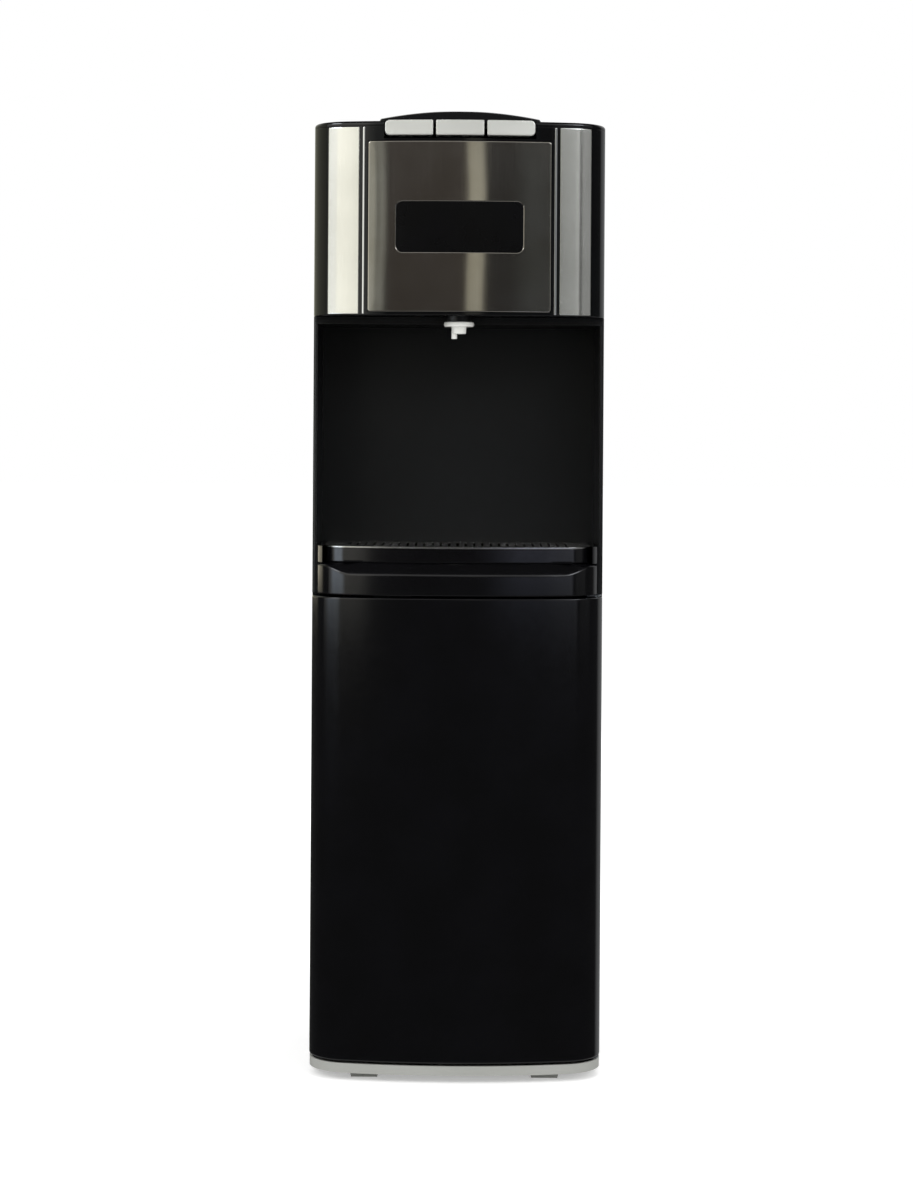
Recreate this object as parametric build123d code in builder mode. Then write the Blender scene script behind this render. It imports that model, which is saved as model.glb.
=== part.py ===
"""Bottom load water cooler, free standing, with a door over the bottle bay.

Frame: millimetres, +Z up, the front faces -Y. The origin is on the floor, in
the middle of the object's width and depth.
"""

import os
from math import atan, cos, degrees, pi, radians, sin, sqrt

from build123d import *

os.makedirs("parts", exist_ok=True)

# ---------------------------------------------------------------- overall sizes
width = 312.0
depth = 360.0
corner_radius = 45.0  # front corners in plan
bow_radius = 600.0  # gentle bow of the front in plan
foot_height = 8.5
sill_height = 10.0  # front of the plinth below the door
door_height = 491.0
band_height = 51.5  # tray housing and drip tray
niche_height = 237.0
brow_height = 8.0
head_height = 200.5
cover_height = 5.0

# ---------------------------------------------------------------- walls
sheet = 1.0  # painted steel sheets
moulding = 2.5  # walls of moulded plastic parts
liner_wall = 2.0
shelf_sheet = 1.5

# ---------------------------------------------------------------- gaps
seam_land = 4.0  # straight side behind the corner, up to the side panels
door_back_gap = 2.5
hinge_gap = 1.0  # between the door's ends and the hinge plates
side_gap = 0.5  # between still parts that stand side by side
slide_gap = 0.7  # between parts that slide past each other
running_gap = 0.05  # radial, pin in hole
pipe_gap = 1.0  # round a pipe or a hose in the hole of a sheet
overcut = 1.0  # how far a cut runs past the face it starts from

# ---------------------------------------------------------------- plinth
base_inset = 0.5
base_wall = 2.5
deck = 3.0
kerb_height = 22.5
foot_inset = (60.0, 46.0)  # middles of the moulded feet, from the sides and from front and back
foot_size = (32.0, 36.0)
foot_taper = 14.0
pad_inset = (35.0, 82.0)  # screw feet, from the sides and from the front
pad_radius = 10.0
pad_height = 5.0
stem_radius = 4.0
rib_depth = 4.0
rib_wall = 2.0
rib_offset = (45.0, 70.0)
rib_margin = (41.0, 65.0)  # from the ribs' ends to the sides and to front and back

# ---------------------------------------------------------------- bottle bay
bay_margin = 6.0  # from the bay's side walls to the cabinet's sides
service_gap = 31.0  # behind the bay, where the pipes run
ridge_pitch = 90.0
rail_inset = 10.0  # guide rails, from the bay's side walls
rail_wall = 3.0
rail_height = 8.0
rail_length = 160.0

# ---------------------------------------------------------------- side and rear sheets
hem = 12.0
flange = 14.0
rear_split = 530.0  # height of the joint between the two rear panels
rear_margin = 6.0
louvre_size = (52.0, 4.0)
louvre_pitch = (66.0, 13.0)
louvre_count = (3, 6)
louvre_z = 715.0
screw_across = 7.0  # flats of the screw heads
screw_head = 2.2
screw_inset = 11.0

# ---------------------------------------------------------------- condenser
condenser_tube_radius = 2.4
tube_sides = 6
tube_flats = 16  # straight runs in a turn of a wound tube
bend_step = 22.5  # turn between the short straight runs of a bend
drum_sides = 24  # flats of the drums and shells inside
stub_sides = 12
nut_sides = 6
condenser_wire = 1.6
condenser_standoff = 16.0
condenser_half = 120.0
condenser_pitch = 50.0
condenser_passes = 9
condenser_low = 88.0
wire_count = 17
wire_overhang = 10.0
bracket_width = 12.0
bracket_sheet = 1.5

# ---------------------------------------------------------------- door
door_skin = 3.0
door_thickness = 28.0  # middle of the bow to the liner's back
door_jamb = 17.0  # from the sides to the opening in the door's back
hinge_inset = 5.5  # pin to the side plane
hinge_set_forward = 6.0  # pin to the door's back edge
hinge_pin_radius = 2.0
hinge_plate = 1.5
door_edge_bevel = 1.5
liner_ribs = 4
catch_size = (40.0, 12.0, 9.5)
catch_bevel = 2.0
catch_x = -70.0
catch_gap = 0.4
strike_sheet = 0.8
strike_height = 14.0

# ---------------------------------------------------------------- tray band
housing_inset = 8.5  # from the side plane, where the frame's pillars stand
housing_setback = 1.0
ledge_low = 23.5  # foot of the slope above the band's bottom
tray_setback = 10.5  # the tray's front behind the housing's front
tray_inset = 4.5  # from the housing's sides
tray_corner = 30.0
tray_bow = 1800.0
tray_wall = 2.0
tray_back_gap = 5.0
grille_sheet = 1.0
grille_rim = 1.0
grille_slot = (2.6, 100.0)
grille_pitch = 9.0
grille_count = 27
finger_notch = (40.0, 3.0)
housing_floor = 2.5
cavity_roof = 4.0

# ---------------------------------------------------------------- dispensing recess
machine_depth = 175.0  # behind the recess, where the compressor stands
niche_inset = 4.5  # inner side wall to the side plane
frame_depth = 8.0
frame_round = 3.0
brow_groove = 0.8

# ---------------------------------------------------------------- nozzle
nozzle_setback = 32.0  # behind the front of the head
nozzle_flange = (16.0, 5.0)  # radius, height
collar_height = 6.0
collar_radius = 13.0
spout_radius = 8.0
spout_length = 7.5
spout_bore = 5.0
tip_radius = 3.0
tip_length = 5.5
tip_x = -5.0
nozzle_stem_radius = 7.0

# ---------------------------------------------------------------- head
head_skin = 3.0
head_floor = 2.5
trim_depth = 1.2  # pockets that hold the metal trims
trim_gap = 0.3
panel_low = 3.8  # above the head's lower edge
panel_height = 180.4
panel_corner = 3.0
window_half = 67.5
window_low = 66.6  # above the head's lower edge
window_height = 53.8
window_corner = 7.0
window_recess = 0.2
wing_inset = 16.0  # from the sides
wing_width = 33.5
strip_width = 2.5
strip_space = 3.5  # between a strip and what stands beside it
trim_margin = 1.2
display_opening = (100.0, 41.0)
board_size = (124.0, 70.0, 1.6)
board_post_radius = 3.0
board_post_length = 8.0

# ---------------------------------------------------------------- top cover and buttons
cover_edge_bevel = 3.0
cover_wall = 2.5
cover_rim = 6.0
pod_half = 86.0
pod_edge_height = 6.0  # above the cover at the pod's ends
pod_crown_height = 17.5
pod_length = 112.0
pod_front_run = 34.0
pod_back_run = 24.0
button_width = 51.0
button_pitch = 54.3
button_height = 16.0
button_depth = 27.0
button_wall = 2.0
button_travel = 3.0
button_gap = 0.8
button_setback = 0.4
button_end_round = 5.0
button_rise = 1.0  # above the cover
carrier_sheet = 2.5
carrier_drop = 24.0  # below the head's top
switch_size = (12.8, 6.5, 6.5)
switch_clearance = 0.4
post_radius = 2.5
spring_radius = 3.5
spring_wire = 0.45
spring_turns = 4
spring_flats = 8
spring_sides = 4
spring_x = 14.0

# ---------------------------------------------------------------- tanks
tank_shelf_rise = 4.0  # above the lower edge of the head
shelf_flange = 18.0
cold_tank_height = 135.0
cold_tank_setback = 115.0  # middle of the tank to the rear flanges
jacket_side_gap = 8.0
jacket_wall = 16.0
jacket_floor = 18.0
coil_radius = 3.2
coil_turns = 3
coil_pitch = 32.0
coil_gap = 2.5
riser_room = 24.0  # between the two tanks, where the feed pipe rises
hot_tank_radius = 42.0
hot_tank_height = 128.0
hot_tank_setback = 95.0
hot_side_gap = 15.0
tank_dome = 11.0
tank_wall = 1.2
tank_leg = (3.0, 8.0)  # radius, height
leg_inset = 4.0

# ---------------------------------------------------------------- compressor
compressor_inset = 87.0  # middle of the compressor to the side sheet
compressor_setback = 107.0  # and to the rear flanges
compressor_radius = 56.0
compressor_height = 150.0
compressor_seam = (67.0, 5.0)  # height and size of the welded lip round the shell
compressor_dome = ((8.0, 18.0), (26.0, 16.0))  # drawn in by, height: the two bands of the top
compressor_foot = 14.0
terminal_box = (26.0, 48.0, 46.0)
terminal_rise = 12.0
terminal_sink = 6.0  # into the shell
compressor_plate = (130.0, 96.0)
stub_radius = 4.5
stub_reach = 8.0  # beyond the compressor's side
discharge_rise = 47.0
suction_rise = 100.0
grommet_radius = 7.0
grommet_height = 10.0
grommet_inset = 10.0  # from the plate's edges
drier_radius = 9.0
drier_length = 86.0
drier_rise = 24.0
refrigerant_tube = 3.2
refrigerant_bend = 14.0
liquid_bend = 9.0
liquid_run = 20.0
capillary_radius = 1.2
line_depth = 14.0  # pipes behind the bay, from the rear sheet

# ---------------------------------------------------------------- water path
pump_inset = 52.0  # middle of the pump to the side sheet
pump_radius = 22.0
pump_length = 74.0
pump_foot = 12.0
pump_band = (18.0, 3.0, 2.0)  # width, and what it adds to each side and to the top
water_tube = 4.5
water_bend = 10.0
riser_turn_z = 700.0
tank_port_rise = 34.0  # ports above the tank shelf
port_depth = 8.0
cross_setback = 48.0  # pipes that cross the head, behind the nozzle
manifold_size = (72.0, 26.0, 20.0)
valve_pitch = 24.0
valve_size = (18.0, 22.0, 26.0)
valve_neck = (6.0, 8.0)
union_inset = (22.0, 20.0)  # from the bay's side wall and from its back
union_flange = (9.0, 3.0)
barb_radius = 5.0
barb_length = 16.0
barb_ring = (1.0, 3.0, 4.0)  # bite, height, pitch
barb_rings = 2
probe_tube_radius = 7.0
probe_length = 380.0
probe_collar = (14.0, 30.0)
probe_collar_z = 440.0
probe_bore = 4.5
probe_bevel = 3.0
probe_spigot = 12.0
probe_slot = (4.0, 8.0)
hanger_arm = (5.0, 6.0)
hanger_gap = 1.0
hanger_plate = 3.0

# ---------------------------------------------------------------- rear fittings
switch_x = -100.0
switch_z = (880.0, 920.0)
switch_opening = (10.5, 17.0)
switch_flange = (15.0, 21.0, 2.0)
switch_body_depth = 14.0
switch_wall = 1.0
rocker_angle = 10.0
rocker_half = 7.2
rocker_throw = 4.5
rocker_root = 4.0
rocker_valley = 2.5
drain_x = 70.0
drain_z = 605.0
drain_radius = 8.0
drain_length = 12.0
drain_bore = 5.0
drain_nut = (13.0, 3.0)
cap_radius = 12.0
cap_sides = 12  # flats of its grip
cap_wall = 2.5
cap_length = 14.0
gland_x = -100.0
gland_z = 605.0
gland_radius = 8.0
gland_length = 9.0
gland_bore = 3.6
gland_nut = (11.0, 3.0)

# ---------------------------------------------------------------- derived places
half = width / 2
nose = -depth / 2
condenser_y = depth / 2 - condenser_wire - condenser_tube_radius
condenser_front = condenser_y - condenser_tube_radius - condenser_wire
rear_face = condenser_front - condenser_standoff
back = rear_face - sheet  # outside of the side panels' rear flanges

deck_top = foot_height + deck
sill_top = foot_height + sill_height
kerb_top = foot_height + kerb_height
door_bottom = sill_top + hinge_plate + hinge_gap
door_top = door_bottom + door_height
band_bottom = door_top + hinge_gap + hinge_plate
lip = band_bottom + band_height
niche_top = lip + niche_height
head_bottom = niche_top + brow_height
head_top = head_bottom + head_height
cover_top = head_top + cover_height

foot_x = half - foot_inset[0]
foot_y = depth / 2 - foot_inset[1]
pad_x = half - pad_inset[0]
pad_y = nose + pad_inset[1]
panel_inside = half - sheet
hem_inside = half - 2 * sheet
housing_half = half - housing_inset
housing_nose = nose + housing_setback
tray_nose = housing_nose + tray_setback
tray_half = housing_half - tray_inset
ledge_top = band_bottom + ledge_low + tray_setback
tray_top = lip - grille_sheet - grille_rim
niche_half = half - niche_inset
niche_back = back - machine_depth
niche_rear = niche_back + moulding
tray_back = niche_back - tray_back_gap
liner_back = nose + door_thickness
door_opening_half = half - door_jamb
bay_half = half - bay_margin
bay_back = back - service_gap
union_x = union_inset[0] - bay_half
union_y = bay_back - union_inset[1]
shelf_top = band_bottom + shelf_sheet
tank_shelf_z = head_bottom + tank_shelf_rise
tank_shelf_top = tank_shelf_z + shelf_sheet
wing_outer = half - wing_inset
wing_inner = wing_outer - wing_width
strip_outer = wing_inner - strip_space
strip_inner = strip_outer - strip_width
panel_half = strip_inner - strip_space
nozzle_y = nose + nozzle_setback
cross_y = nozzle_y + cross_setback
nozzle_flange_z = head_bottom - collar_height - nozzle_flange[1]
spout_z = nozzle_flange_z - spout_length
head_floor_top = head_bottom + head_floor


# ---------------------------------------------------------------- drawing helpers
def corner_centre_y(half_width, nose_y, corner, bow):
    """Y of the centre of a front corner that runs smoothly into the bow."""
    return nose_y + bow - sqrt((bow - corner) ** 2 - (half_width - corner) ** 2)


def bowed(half_width, nose_y, corner, bow, back_y, inset=0.0, mode=Mode.ADD):
    """Plan outline: straight back and sides, round front corners and a bowed front."""
    centre_x = half_width - corner
    centre_y = corner_centre_y(half_width, nose_y, corner, bow)
    radius = corner - inset
    side = half_width - inset
    outward = Vector(centre_x, centre_y - nose_y - bow).normalized()
    meet = Vector(centre_x, centre_y) + outward * radius
    middle = Vector(centre_x, centre_y) + (outward + Vector(1, 0)).normalized() * radius
    with BuildLine() as outline:
        Polyline((-side, centre_y), (-side, back_y), (side, back_y), (side, centre_y))
        ThreePointArc((side, centre_y), (middle.X, middle.Y), (meet.X, meet.Y))
        ThreePointArc((meet.X, meet.Y), (0, nose_y + inset), (-meet.X, meet.Y))
        ThreePointArc((-meet.X, meet.Y), (-middle.X, middle.Y), (-side, centre_y))
    make_face(outline.edges(), mode=mode)


def cabinet(back_y, inset=0.0, mode=Mode.ADD):
    """The cabinet's own plan outline, drawn inset by a wall."""
    bowed(half, nose, corner_radius, bow_radius, back_y, inset, mode)


def cabinet_front(back_y, inset=0.0):
    """The part of the plan outline in front of a line that may lie across its corners."""
    cabinet(seam, inset)
    with Locations((0, back_y)):
        Rectangle(width, depth, align=(Align.CENTER, Align.MIN), mode=Mode.SUBTRACT)


def bow_y(x, inset=0.0):
    """Y of the bowed front at a distance to the side, inset by a wall."""
    return nose + bow_radius - sqrt((bow_radius - inset) ** 2 - x**2)


def block(low, high, mode=Mode.ADD):
    """Box between two opposite corners."""
    size = [b - a for a, b in zip(low, high)]
    middle = [(a + b) / 2 for a, b in zip(low, high)]
    with Locations(tuple(middle)):
        Box(*size, mode=mode)


def rod(x, y, low, high, radius, mode=Mode.ADD):
    """Upright cylinder."""
    with Locations((x, y, (low + high) / 2)):
        Cylinder(radius, high - low, mode=mode)


def rod_y(x, z, low, high, radius, mode=Mode.ADD):
    """Cylinder that lies along Y."""
    with Locations((x, (low + high) / 2, z)):
        Cylinder(radius, high - low, rotation=(90, 0, 0), mode=mode)


def prism(plane, length, radius, sides, draw=0.0, mode=Mode.ADD):
    """Prism with flat sides that stands on a plane, drawn in towards its far end."""
    with BuildSketch(plane) as section:
        RegularPolygon(radius, sides)
    slope = degrees(atan(draw * cos(pi / sides) / length))
    extrude(section.sketch, amount=length, taper=slope, mode=mode)


def upright(x, y, z):
    """Plane that faces up at a point."""
    return Plane((x, y, z))


def rearward(x, y, z):
    """Plane that faces the rear at a point."""
    return Plane((x, y, z), x_dir=(0, 0, 1), z_dir=(0, 1, 0))


def vessel(x, y, low, high, radius, end_chamfer, inset=0.0):
    """Upright drum with drawn-in ends, its walls inset by their thickness."""
    with BuildPart() as body:
        prism(upright(x, y, low + inset), high - low - 2 * inset, radius - inset, drum_sides)
        chamfer(body.edges().filter_by(Plane.XY), end_chamfer)
    return body.part


def mitred_tube(route, radius):
    """Tube with flats along a route, each of its arcs made of short straight runs."""
    runs = route.wires()[0].order_edges()
    stops = [runs[0] @ 0]
    for run in runs:
        curved = run.geom_type == GeomType.CIRCLE
        flats = round(run.length / run.radius / radians(bend_step)) if curved else 1
        stops += [run @ (step / flats) for step in range(1, flats + 1)]
    with BuildLine() as path:
        Polyline(*stops)
    with BuildSketch(Plane(stops[0], z_dir=stops[1] - stops[0])) as section:
        RegularPolygon(radius, tube_sides)
    sweep(section.sketch, path=path.wires()[0], transition=Transition.RIGHT)


def tube(points, radius, bend):
    """Tube with flats along straight runs joined by bends."""
    with BuildLine() as route:
        FilletPolyline(*points, radius=bend)
    mitred_tube(route, radius)


def coil(centre, radius, turns, pitch, wire_radius, sides, flats):
    """Wire wound on a drum in short straight runs, whose middles touch the radius."""
    x, y, z = centre
    reach = radius / cos(pi / flats)
    corners = [
        Vector(x + reach * cos(turn), y + reach * sin(turn), z + pitch * turn / (2 * pi))
        for turn in (2 * pi * step / flats for step in range(turns * flats + 1))
    ]
    with BuildLine() as winding:
        Polyline(*corners)
    with BuildSketch(Plane(corners[0], x_dir=(1, 0, 0), z_dir=corners[1] - corners[0])) as wire:
        RegularPolygon(wire_radius, sides)
    sweep(wire.sketch, path=winding.wires()[0], transition=Transition.RIGHT)


def draw_trim(thickness, recess, margin, draw_front):
    """A thin piece of the head's skin, cut to the outline that draw_front draws."""
    with BuildSketch(Plane.XY.offset(head_bottom)) as band:
        cabinet(seam, recess)
        cabinet(seam, recess + thickness, mode=Mode.SUBTRACT)
    extrude(band.sketch, amount=head_height)
    with BuildSketch(Plane.XZ) as front:
        draw_front(margin)
    extrude(front.sketch, amount=-nose + overcut, mode=Mode.INTERSECT)


def trim_pocket(pocket_depth, draw_front):
    """The solid that cuts a trim's pocket, with its gap round the trim."""
    with BuildPart() as pocket:
        draw_trim(pocket_depth + overcut, -overcut, trim_gap, draw_front)
    return pocket.part


def panel_front(margin):
    """Front view of the centre panel."""
    with Locations((0, head_bottom + panel_low + panel_height / 2)):
        RectangleRounded(2 * (panel_half + margin), panel_height + 2 * margin, panel_corner + margin)


def window_front(margin):
    """Front view of the display window."""
    with Locations((0, head_bottom + window_low + window_height / 2)):
        RectangleRounded(2 * (window_half + margin), window_height + 2 * margin, window_corner + margin)


def strip_front(side):
    """Front view of a chrome strip."""
    return upright_front(strip_inner, strip_outer, side)


def both_strips(margin):
    """Front view of the two chrome strips."""
    for side in (-1, 1):
        strip_front(side)(margin)


def wing_front(side):
    """Front view of a silver wing."""
    return upright_front(wing_inner, wing_outer, side)


def upright_front(inner, outer, side):
    """Front view of an upright trim between two distances from the middle."""

    def draw(margin):
        low = head_bottom + trim_margin - margin
        high = head_top - trim_margin + margin
        with Locations((side * (inner + outer) / 2, (low + high) / 2)):
            Rectangle(outer - inner + 2 * margin, high - low)

    return draw


seam = corner_centre_y(half, nose, corner_radius, bow_radius) + seam_land
door_back = seam - door_back_gap

# ---------------------------------------------------------------- places of the inner pieces
compressor_x = compressor_inset - panel_inside
compressor_y = back - compressor_setback
pump_x = panel_inside - pump_inset
tanks_width = 2 * panel_inside - jacket_side_gap - riser_room - hot_side_gap
jacket_radius = tanks_width / 2 - hot_tank_radius
cold_tank_radius = jacket_radius - jacket_wall - 2 * (coil_radius + coil_gap)
cold_tank_x = jacket_side_gap + jacket_radius - panel_inside
cold_tank_y = back - cold_tank_setback
hot_tank_x = panel_inside - hot_side_gap - hot_tank_radius
hot_tank_y = back - hot_tank_setback
riser_x = cold_tank_x + jacket_radius + riser_room / 2

# ---------------------------------------------------------------- places of the pipes
run_half = condenser_half - condenser_pitch / 2
line_y = back - line_depth
shell_z = shelf_top + grommet_height + shelf_sheet
discharge_x = compressor_x - compressor_radius / 3
discharge_z = shell_z + discharge_rise
suction_x = compressor_x + compressor_radius / 3
suction_z = shell_z + suction_rise
liquid_x = -run_half - liquid_run
port_z = tank_shelf_top + tank_port_rise
cold_port = (cold_tank_x, port_z)
room_port = (0.0, port_z)

# ---------------------------------------------------------------- plinth and feet
with BuildPart() as base_plinth:
    with BuildSketch(Plane.XY.offset(foot_height)):
        cabinet(back, base_inset)
    extrude(amount=sill_height)
    with BuildSketch(Plane.XY.offset(foot_height)):
        with Locations((0, (seam + back) / 2)):
            Rectangle(2 * (half - base_inset), back - seam)
    extrude(amount=kerb_height)
    with BuildSketch(Plane.XY.offset(deck_top)):
        cabinet(back - base_wall, base_inset + base_wall)
    extrude(amount=kerb_height, mode=Mode.SUBTRACT)
    with BuildSketch(Plane((0, 0, foot_height), x_dir=(1, 0, 0), z_dir=(0, 0, -1))):
        with GridLocations(2 * foot_x, 2 * foot_y, 2, 2):
            Rectangle(*foot_size)
    extrude(amount=foot_height, taper=foot_taper)
    with BuildSketch(Plane.XY.offset(foot_height - rib_depth)):
        with Locations((-rib_offset[0], 0), (rib_offset[0], 0)):
            Rectangle(rib_wall, depth - 2 * rib_margin[1])
        with Locations((0, -rib_offset[1]), (0, rib_offset[1])):
            Rectangle(width - 2 * rib_margin[0], rib_wall)
    extrude(amount=rib_depth)
    for side in (-1, 1):
        socket = upright(side * pad_x, pad_y, pad_height)
        prism(socket, foot_height - pad_height, 2 * stem_radius, stub_sides)
        prism(socket, deck_top - pad_height, stem_radius + side_gap, nut_sides, mode=Mode.SUBTRACT)
        with Locations((side * (bay_half - rail_inset), 0, deck_top + rail_height / 2)):
            Box(rail_wall, rail_length, rail_height)

with BuildPart() as levelling_feet:
    for side in (-1, 1):
        rod(side * pad_x, pad_y, 0, pad_height, pad_radius)
        stem_length = deck_top + side_gap - pad_height
        prism(upright(side * pad_x, pad_y, pad_height), stem_length, stem_radius, nut_sides)


# ---------------------------------------------------------------- sheet steel sides and rear
def draw_side_panel(side):
    """One folded sheet: hemmed front edge, flat side and a flange at the rear."""
    with BuildSketch(Plane.XY.offset(kerb_top)) as plan:
        with Locations((side * (half - sheet / 2), (seam + back) / 2)):
            Rectangle(sheet, back - seam)
        with Locations((side * (half - 1.5 * sheet), seam + hem / 2)):
            Rectangle(sheet, hem)
        with Locations((side * (half - sheet - flange / 2), back - sheet / 2)):
            Rectangle(flange, sheet)
    extrude(plan.sketch, amount=head_top - kerb_top)


with BuildPart() as side_panel_left:
    draw_side_panel(-1)

with BuildPart() as side_panel_right:
    draw_side_panel(1)

rear_half = half - rear_margin
switch_edge = switch_wall + side_gap

with BuildPart() as rear_panel_lower:
    block((-rear_half, back, sill_top), (rear_half, rear_face, rear_split - side_gap))
    hole = rearward(liquid_x, back, condenser_low)
    prism(hole, sheet, refrigerant_tube + pipe_gap, stub_sides, mode=Mode.SUBTRACT)

with BuildPart() as rear_panel_upper:
    block((-rear_half, back, rear_split), (rear_half, rear_face, head_top))
    with BuildSketch(Plane.XZ.offset(-rear_face)):
        with Locations((0, louvre_z)):
            with GridLocations(*louvre_pitch, *louvre_count):
                Rectangle(*louvre_size)
        for height in switch_z:
            with Locations((switch_x, height)):
                Rectangle(switch_opening[0] + 2 * switch_edge, switch_opening[1] + 2 * switch_edge)
    extrude(amount=sheet, mode=Mode.SUBTRACT)
    for x, z, radius in (
        (condenser_half, discharge_z, refrigerant_tube + pipe_gap),
        (drain_x, drain_z, drain_radius + pipe_gap),
    ):
        prism(rearward(x, back, z), sheet, radius, stub_sides, mode=Mode.SUBTRACT)
    rod_y(gland_x, gland_z, back, rear_face, gland_radius + pipe_gap, mode=Mode.SUBTRACT)

screw_x = rear_half - screw_inset / 2
screw_heights = (
    sill_top + screw_inset,
    (sill_top + rear_split) / 2,
    rear_split - screw_inset,
    rear_split + screw_inset,
    (rear_split + head_top) / 2,
    head_top - screw_inset,
)

with BuildPart() as rear_screws:
    for side in (-1, 1):
        for height in screw_heights:
            with BuildSketch(Plane((side * screw_x, rear_face, height), z_dir=(0, 1, 0))):
                RegularPolygon(screw_across / 2, 6, major_radius=False)
            extrude(amount=screw_head)

# ---------------------------------------------------------------- condenser on the back
condenser_rows = [condenser_low + condenser_pitch * row for row in range(condenser_passes)]
bend_radius = condenser_pitch / 2
wire_low = condenser_rows[0] - wire_overhang
wire_high = condenser_rows[-1] + wire_overhang

with BuildPart() as condenser_coil:
    with BuildLine(Plane.XZ.offset(-condenser_y)) as serpentine:
        side = 1
        for low in condenser_rows[:-1]:
            Line((-side * run_half, low), (side * run_half, low))
            ThreePointArc(
                (side * run_half, low),
                (side * condenser_half, low + bend_radius),
                (side * run_half, low + condenser_pitch),
            )
            side = -side
        top_row = condenser_rows[-1]
        Line((-side * run_half, top_row), (side * run_half, top_row))
        end_arc = RadiusArc(
            (side * run_half, top_row), (side * condenser_half, top_row + bend_radius), -side * bend_radius
        )
        Line(end_arc @ 1, (side * condenser_half, discharge_z - 2 * refrigerant_bend))
    mitred_tube(serpentine, condenser_tube_radius)
    for face_y in (-1, 1):
        wire_y = condenser_y + face_y * (condenser_tube_radius + condenser_wire / 2)
        with BuildSketch(Plane.XY.offset(wire_low)):
            with Locations((0, wire_y)):
                with GridLocations(2 * run_half / (wire_count - 1), 1, wire_count, 1):
                    Rectangle(condenser_wire, condenser_wire)
        extrude(amount=wire_high - wire_low)

with BuildPart() as condenser_brackets:
    for side in (-1, 1):
        for row in (1, -2):
            middle = condenser_rows[row] + bend_radius
            arm_x = side * run_half
            block(
                (arm_x - bracket_sheet, rear_face, middle - bracket_width),
                (arm_x + bracket_sheet, condenser_front, middle + bracket_width),
            )
            block(
                (arm_x - bracket_width, rear_face, middle - bracket_width),
                (arm_x + bracket_width, rear_face + bracket_sheet, middle + bracket_width),
            )

# ---------------------------------------------------------------- bottle bay
with BuildPart() as bay_liner:
    block(
        (-bay_half - liner_wall, seam, deck_top),
        (bay_half + liner_wall, bay_back + liner_wall, band_bottom),
    )
    block((-hem_inside, seam, kerb_top), (hem_inside, seam + liner_wall, band_bottom))
    block((-bay_half, seam, deck_top), (bay_half, bay_back, band_bottom - liner_wall), mode=Mode.SUBTRACT)
    roof = upright(union_x, union_y, band_bottom - liner_wall)
    prism(roof, liner_wall, barb_radius + side_gap, stub_sides, mode=Mode.SUBTRACT)
    ridge = bay_back + liner_wall
    for ridge_x in (-ridge_pitch, 0, ridge_pitch):
        block((ridge_x - rib_wall, ridge, kerb_top), (ridge_x + rib_wall, ridge + rib_depth, band_bottom))

union_low = band_bottom - liner_wall - union_flange[1]

with BuildPart() as hose_union:
    barb_low = union_low - barb_length
    barb_high = shelf_top + barb_length
    prism(upright(union_x, union_y, union_low), union_flange[1], union_flange[0], nut_sides)
    prism(upright(union_x, union_y, barb_low), barb_length, barb_radius, stub_sides)
    stem = upright(union_x, union_y, band_bottom - liner_wall)
    prism(stem, barb_high - band_bottom + liner_wall, barb_radius, stub_sides)
    for ring in range(barb_rings):
        ring_foot = upright(union_x, union_y, barb_low + (ring + 1) * barb_ring[2])
        prism(ring_foot, barb_ring[1], barb_radius + barb_ring[0], stub_sides, barb_ring[0])
    bore = upright(union_x, union_y, barb_low)
    prism(bore, barb_high - barb_low, barb_radius / 2, nut_sides, mode=Mode.SUBTRACT)

prong_x = probe_tube_radius + hanger_gap + hanger_arm[0] / 2
probe_y = union_y
prong_front = probe_y - probe_tube_radius - hanger_gap

with BuildPart() as probe_hanger:
    plate_half = prong_x + hanger_arm[0] / 2
    block(
        (union_x - plate_half, bay_back - hanger_plate, probe_collar_z - 4 * hanger_arm[1]),
        (union_x + plate_half, bay_back, probe_collar_z + hanger_arm[1]),
    )
    for side in (-1, 1):
        arm = union_x + side * prong_x
        block(
            (arm - hanger_arm[0] / 2, prong_front, probe_collar_z - hanger_arm[1]),
            (arm + hanger_arm[0] / 2, bay_back - hanger_plate, probe_collar_z),
        )
    rib_front = probe_y + probe_tube_radius + hanger_gap
    block(
        (union_x - rib_wall / 2, rib_front, probe_collar_z - 3 * hanger_arm[1]),
        (union_x + rib_wall / 2, bay_back - hanger_plate, probe_collar_z - hanger_arm[1]),
    )

probe_low = probe_collar_z - probe_length
probe_top = probe_collar_z + probe_collar[1] + probe_spigot

with BuildPart() as probe:
    bore = upright(union_x, probe_y, probe_low)
    prism(bore, probe_length, probe_tube_radius, stub_sides)
    prism(upright(union_x, probe_y, probe_collar_z), probe_collar[1], probe_collar[0], drum_sides)
    chamfer(probe.edges().group_by(Axis.Z)[-1], probe_bevel)
    spigot = upright(union_x, probe_y, probe_collar_z + probe_collar[1])
    prism(spigot, probe_spigot, barb_radius, stub_sides)
    prism(bore, probe_top - probe_low, probe_bore / 2, nut_sides, mode=Mode.SUBTRACT)
    block(
        (union_x - probe_tube_radius, probe_y - probe_slot[0] / 2, probe_low),
        (union_x + probe_tube_radius, probe_y + probe_slot[0] / 2, probe_low + probe_slot[1]),
        mode=Mode.SUBTRACT,
    )

# ---------------------------------------------------------------- door
hinge_x = half - hinge_inset
hinge_y = door_back - hinge_set_forward

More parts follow.
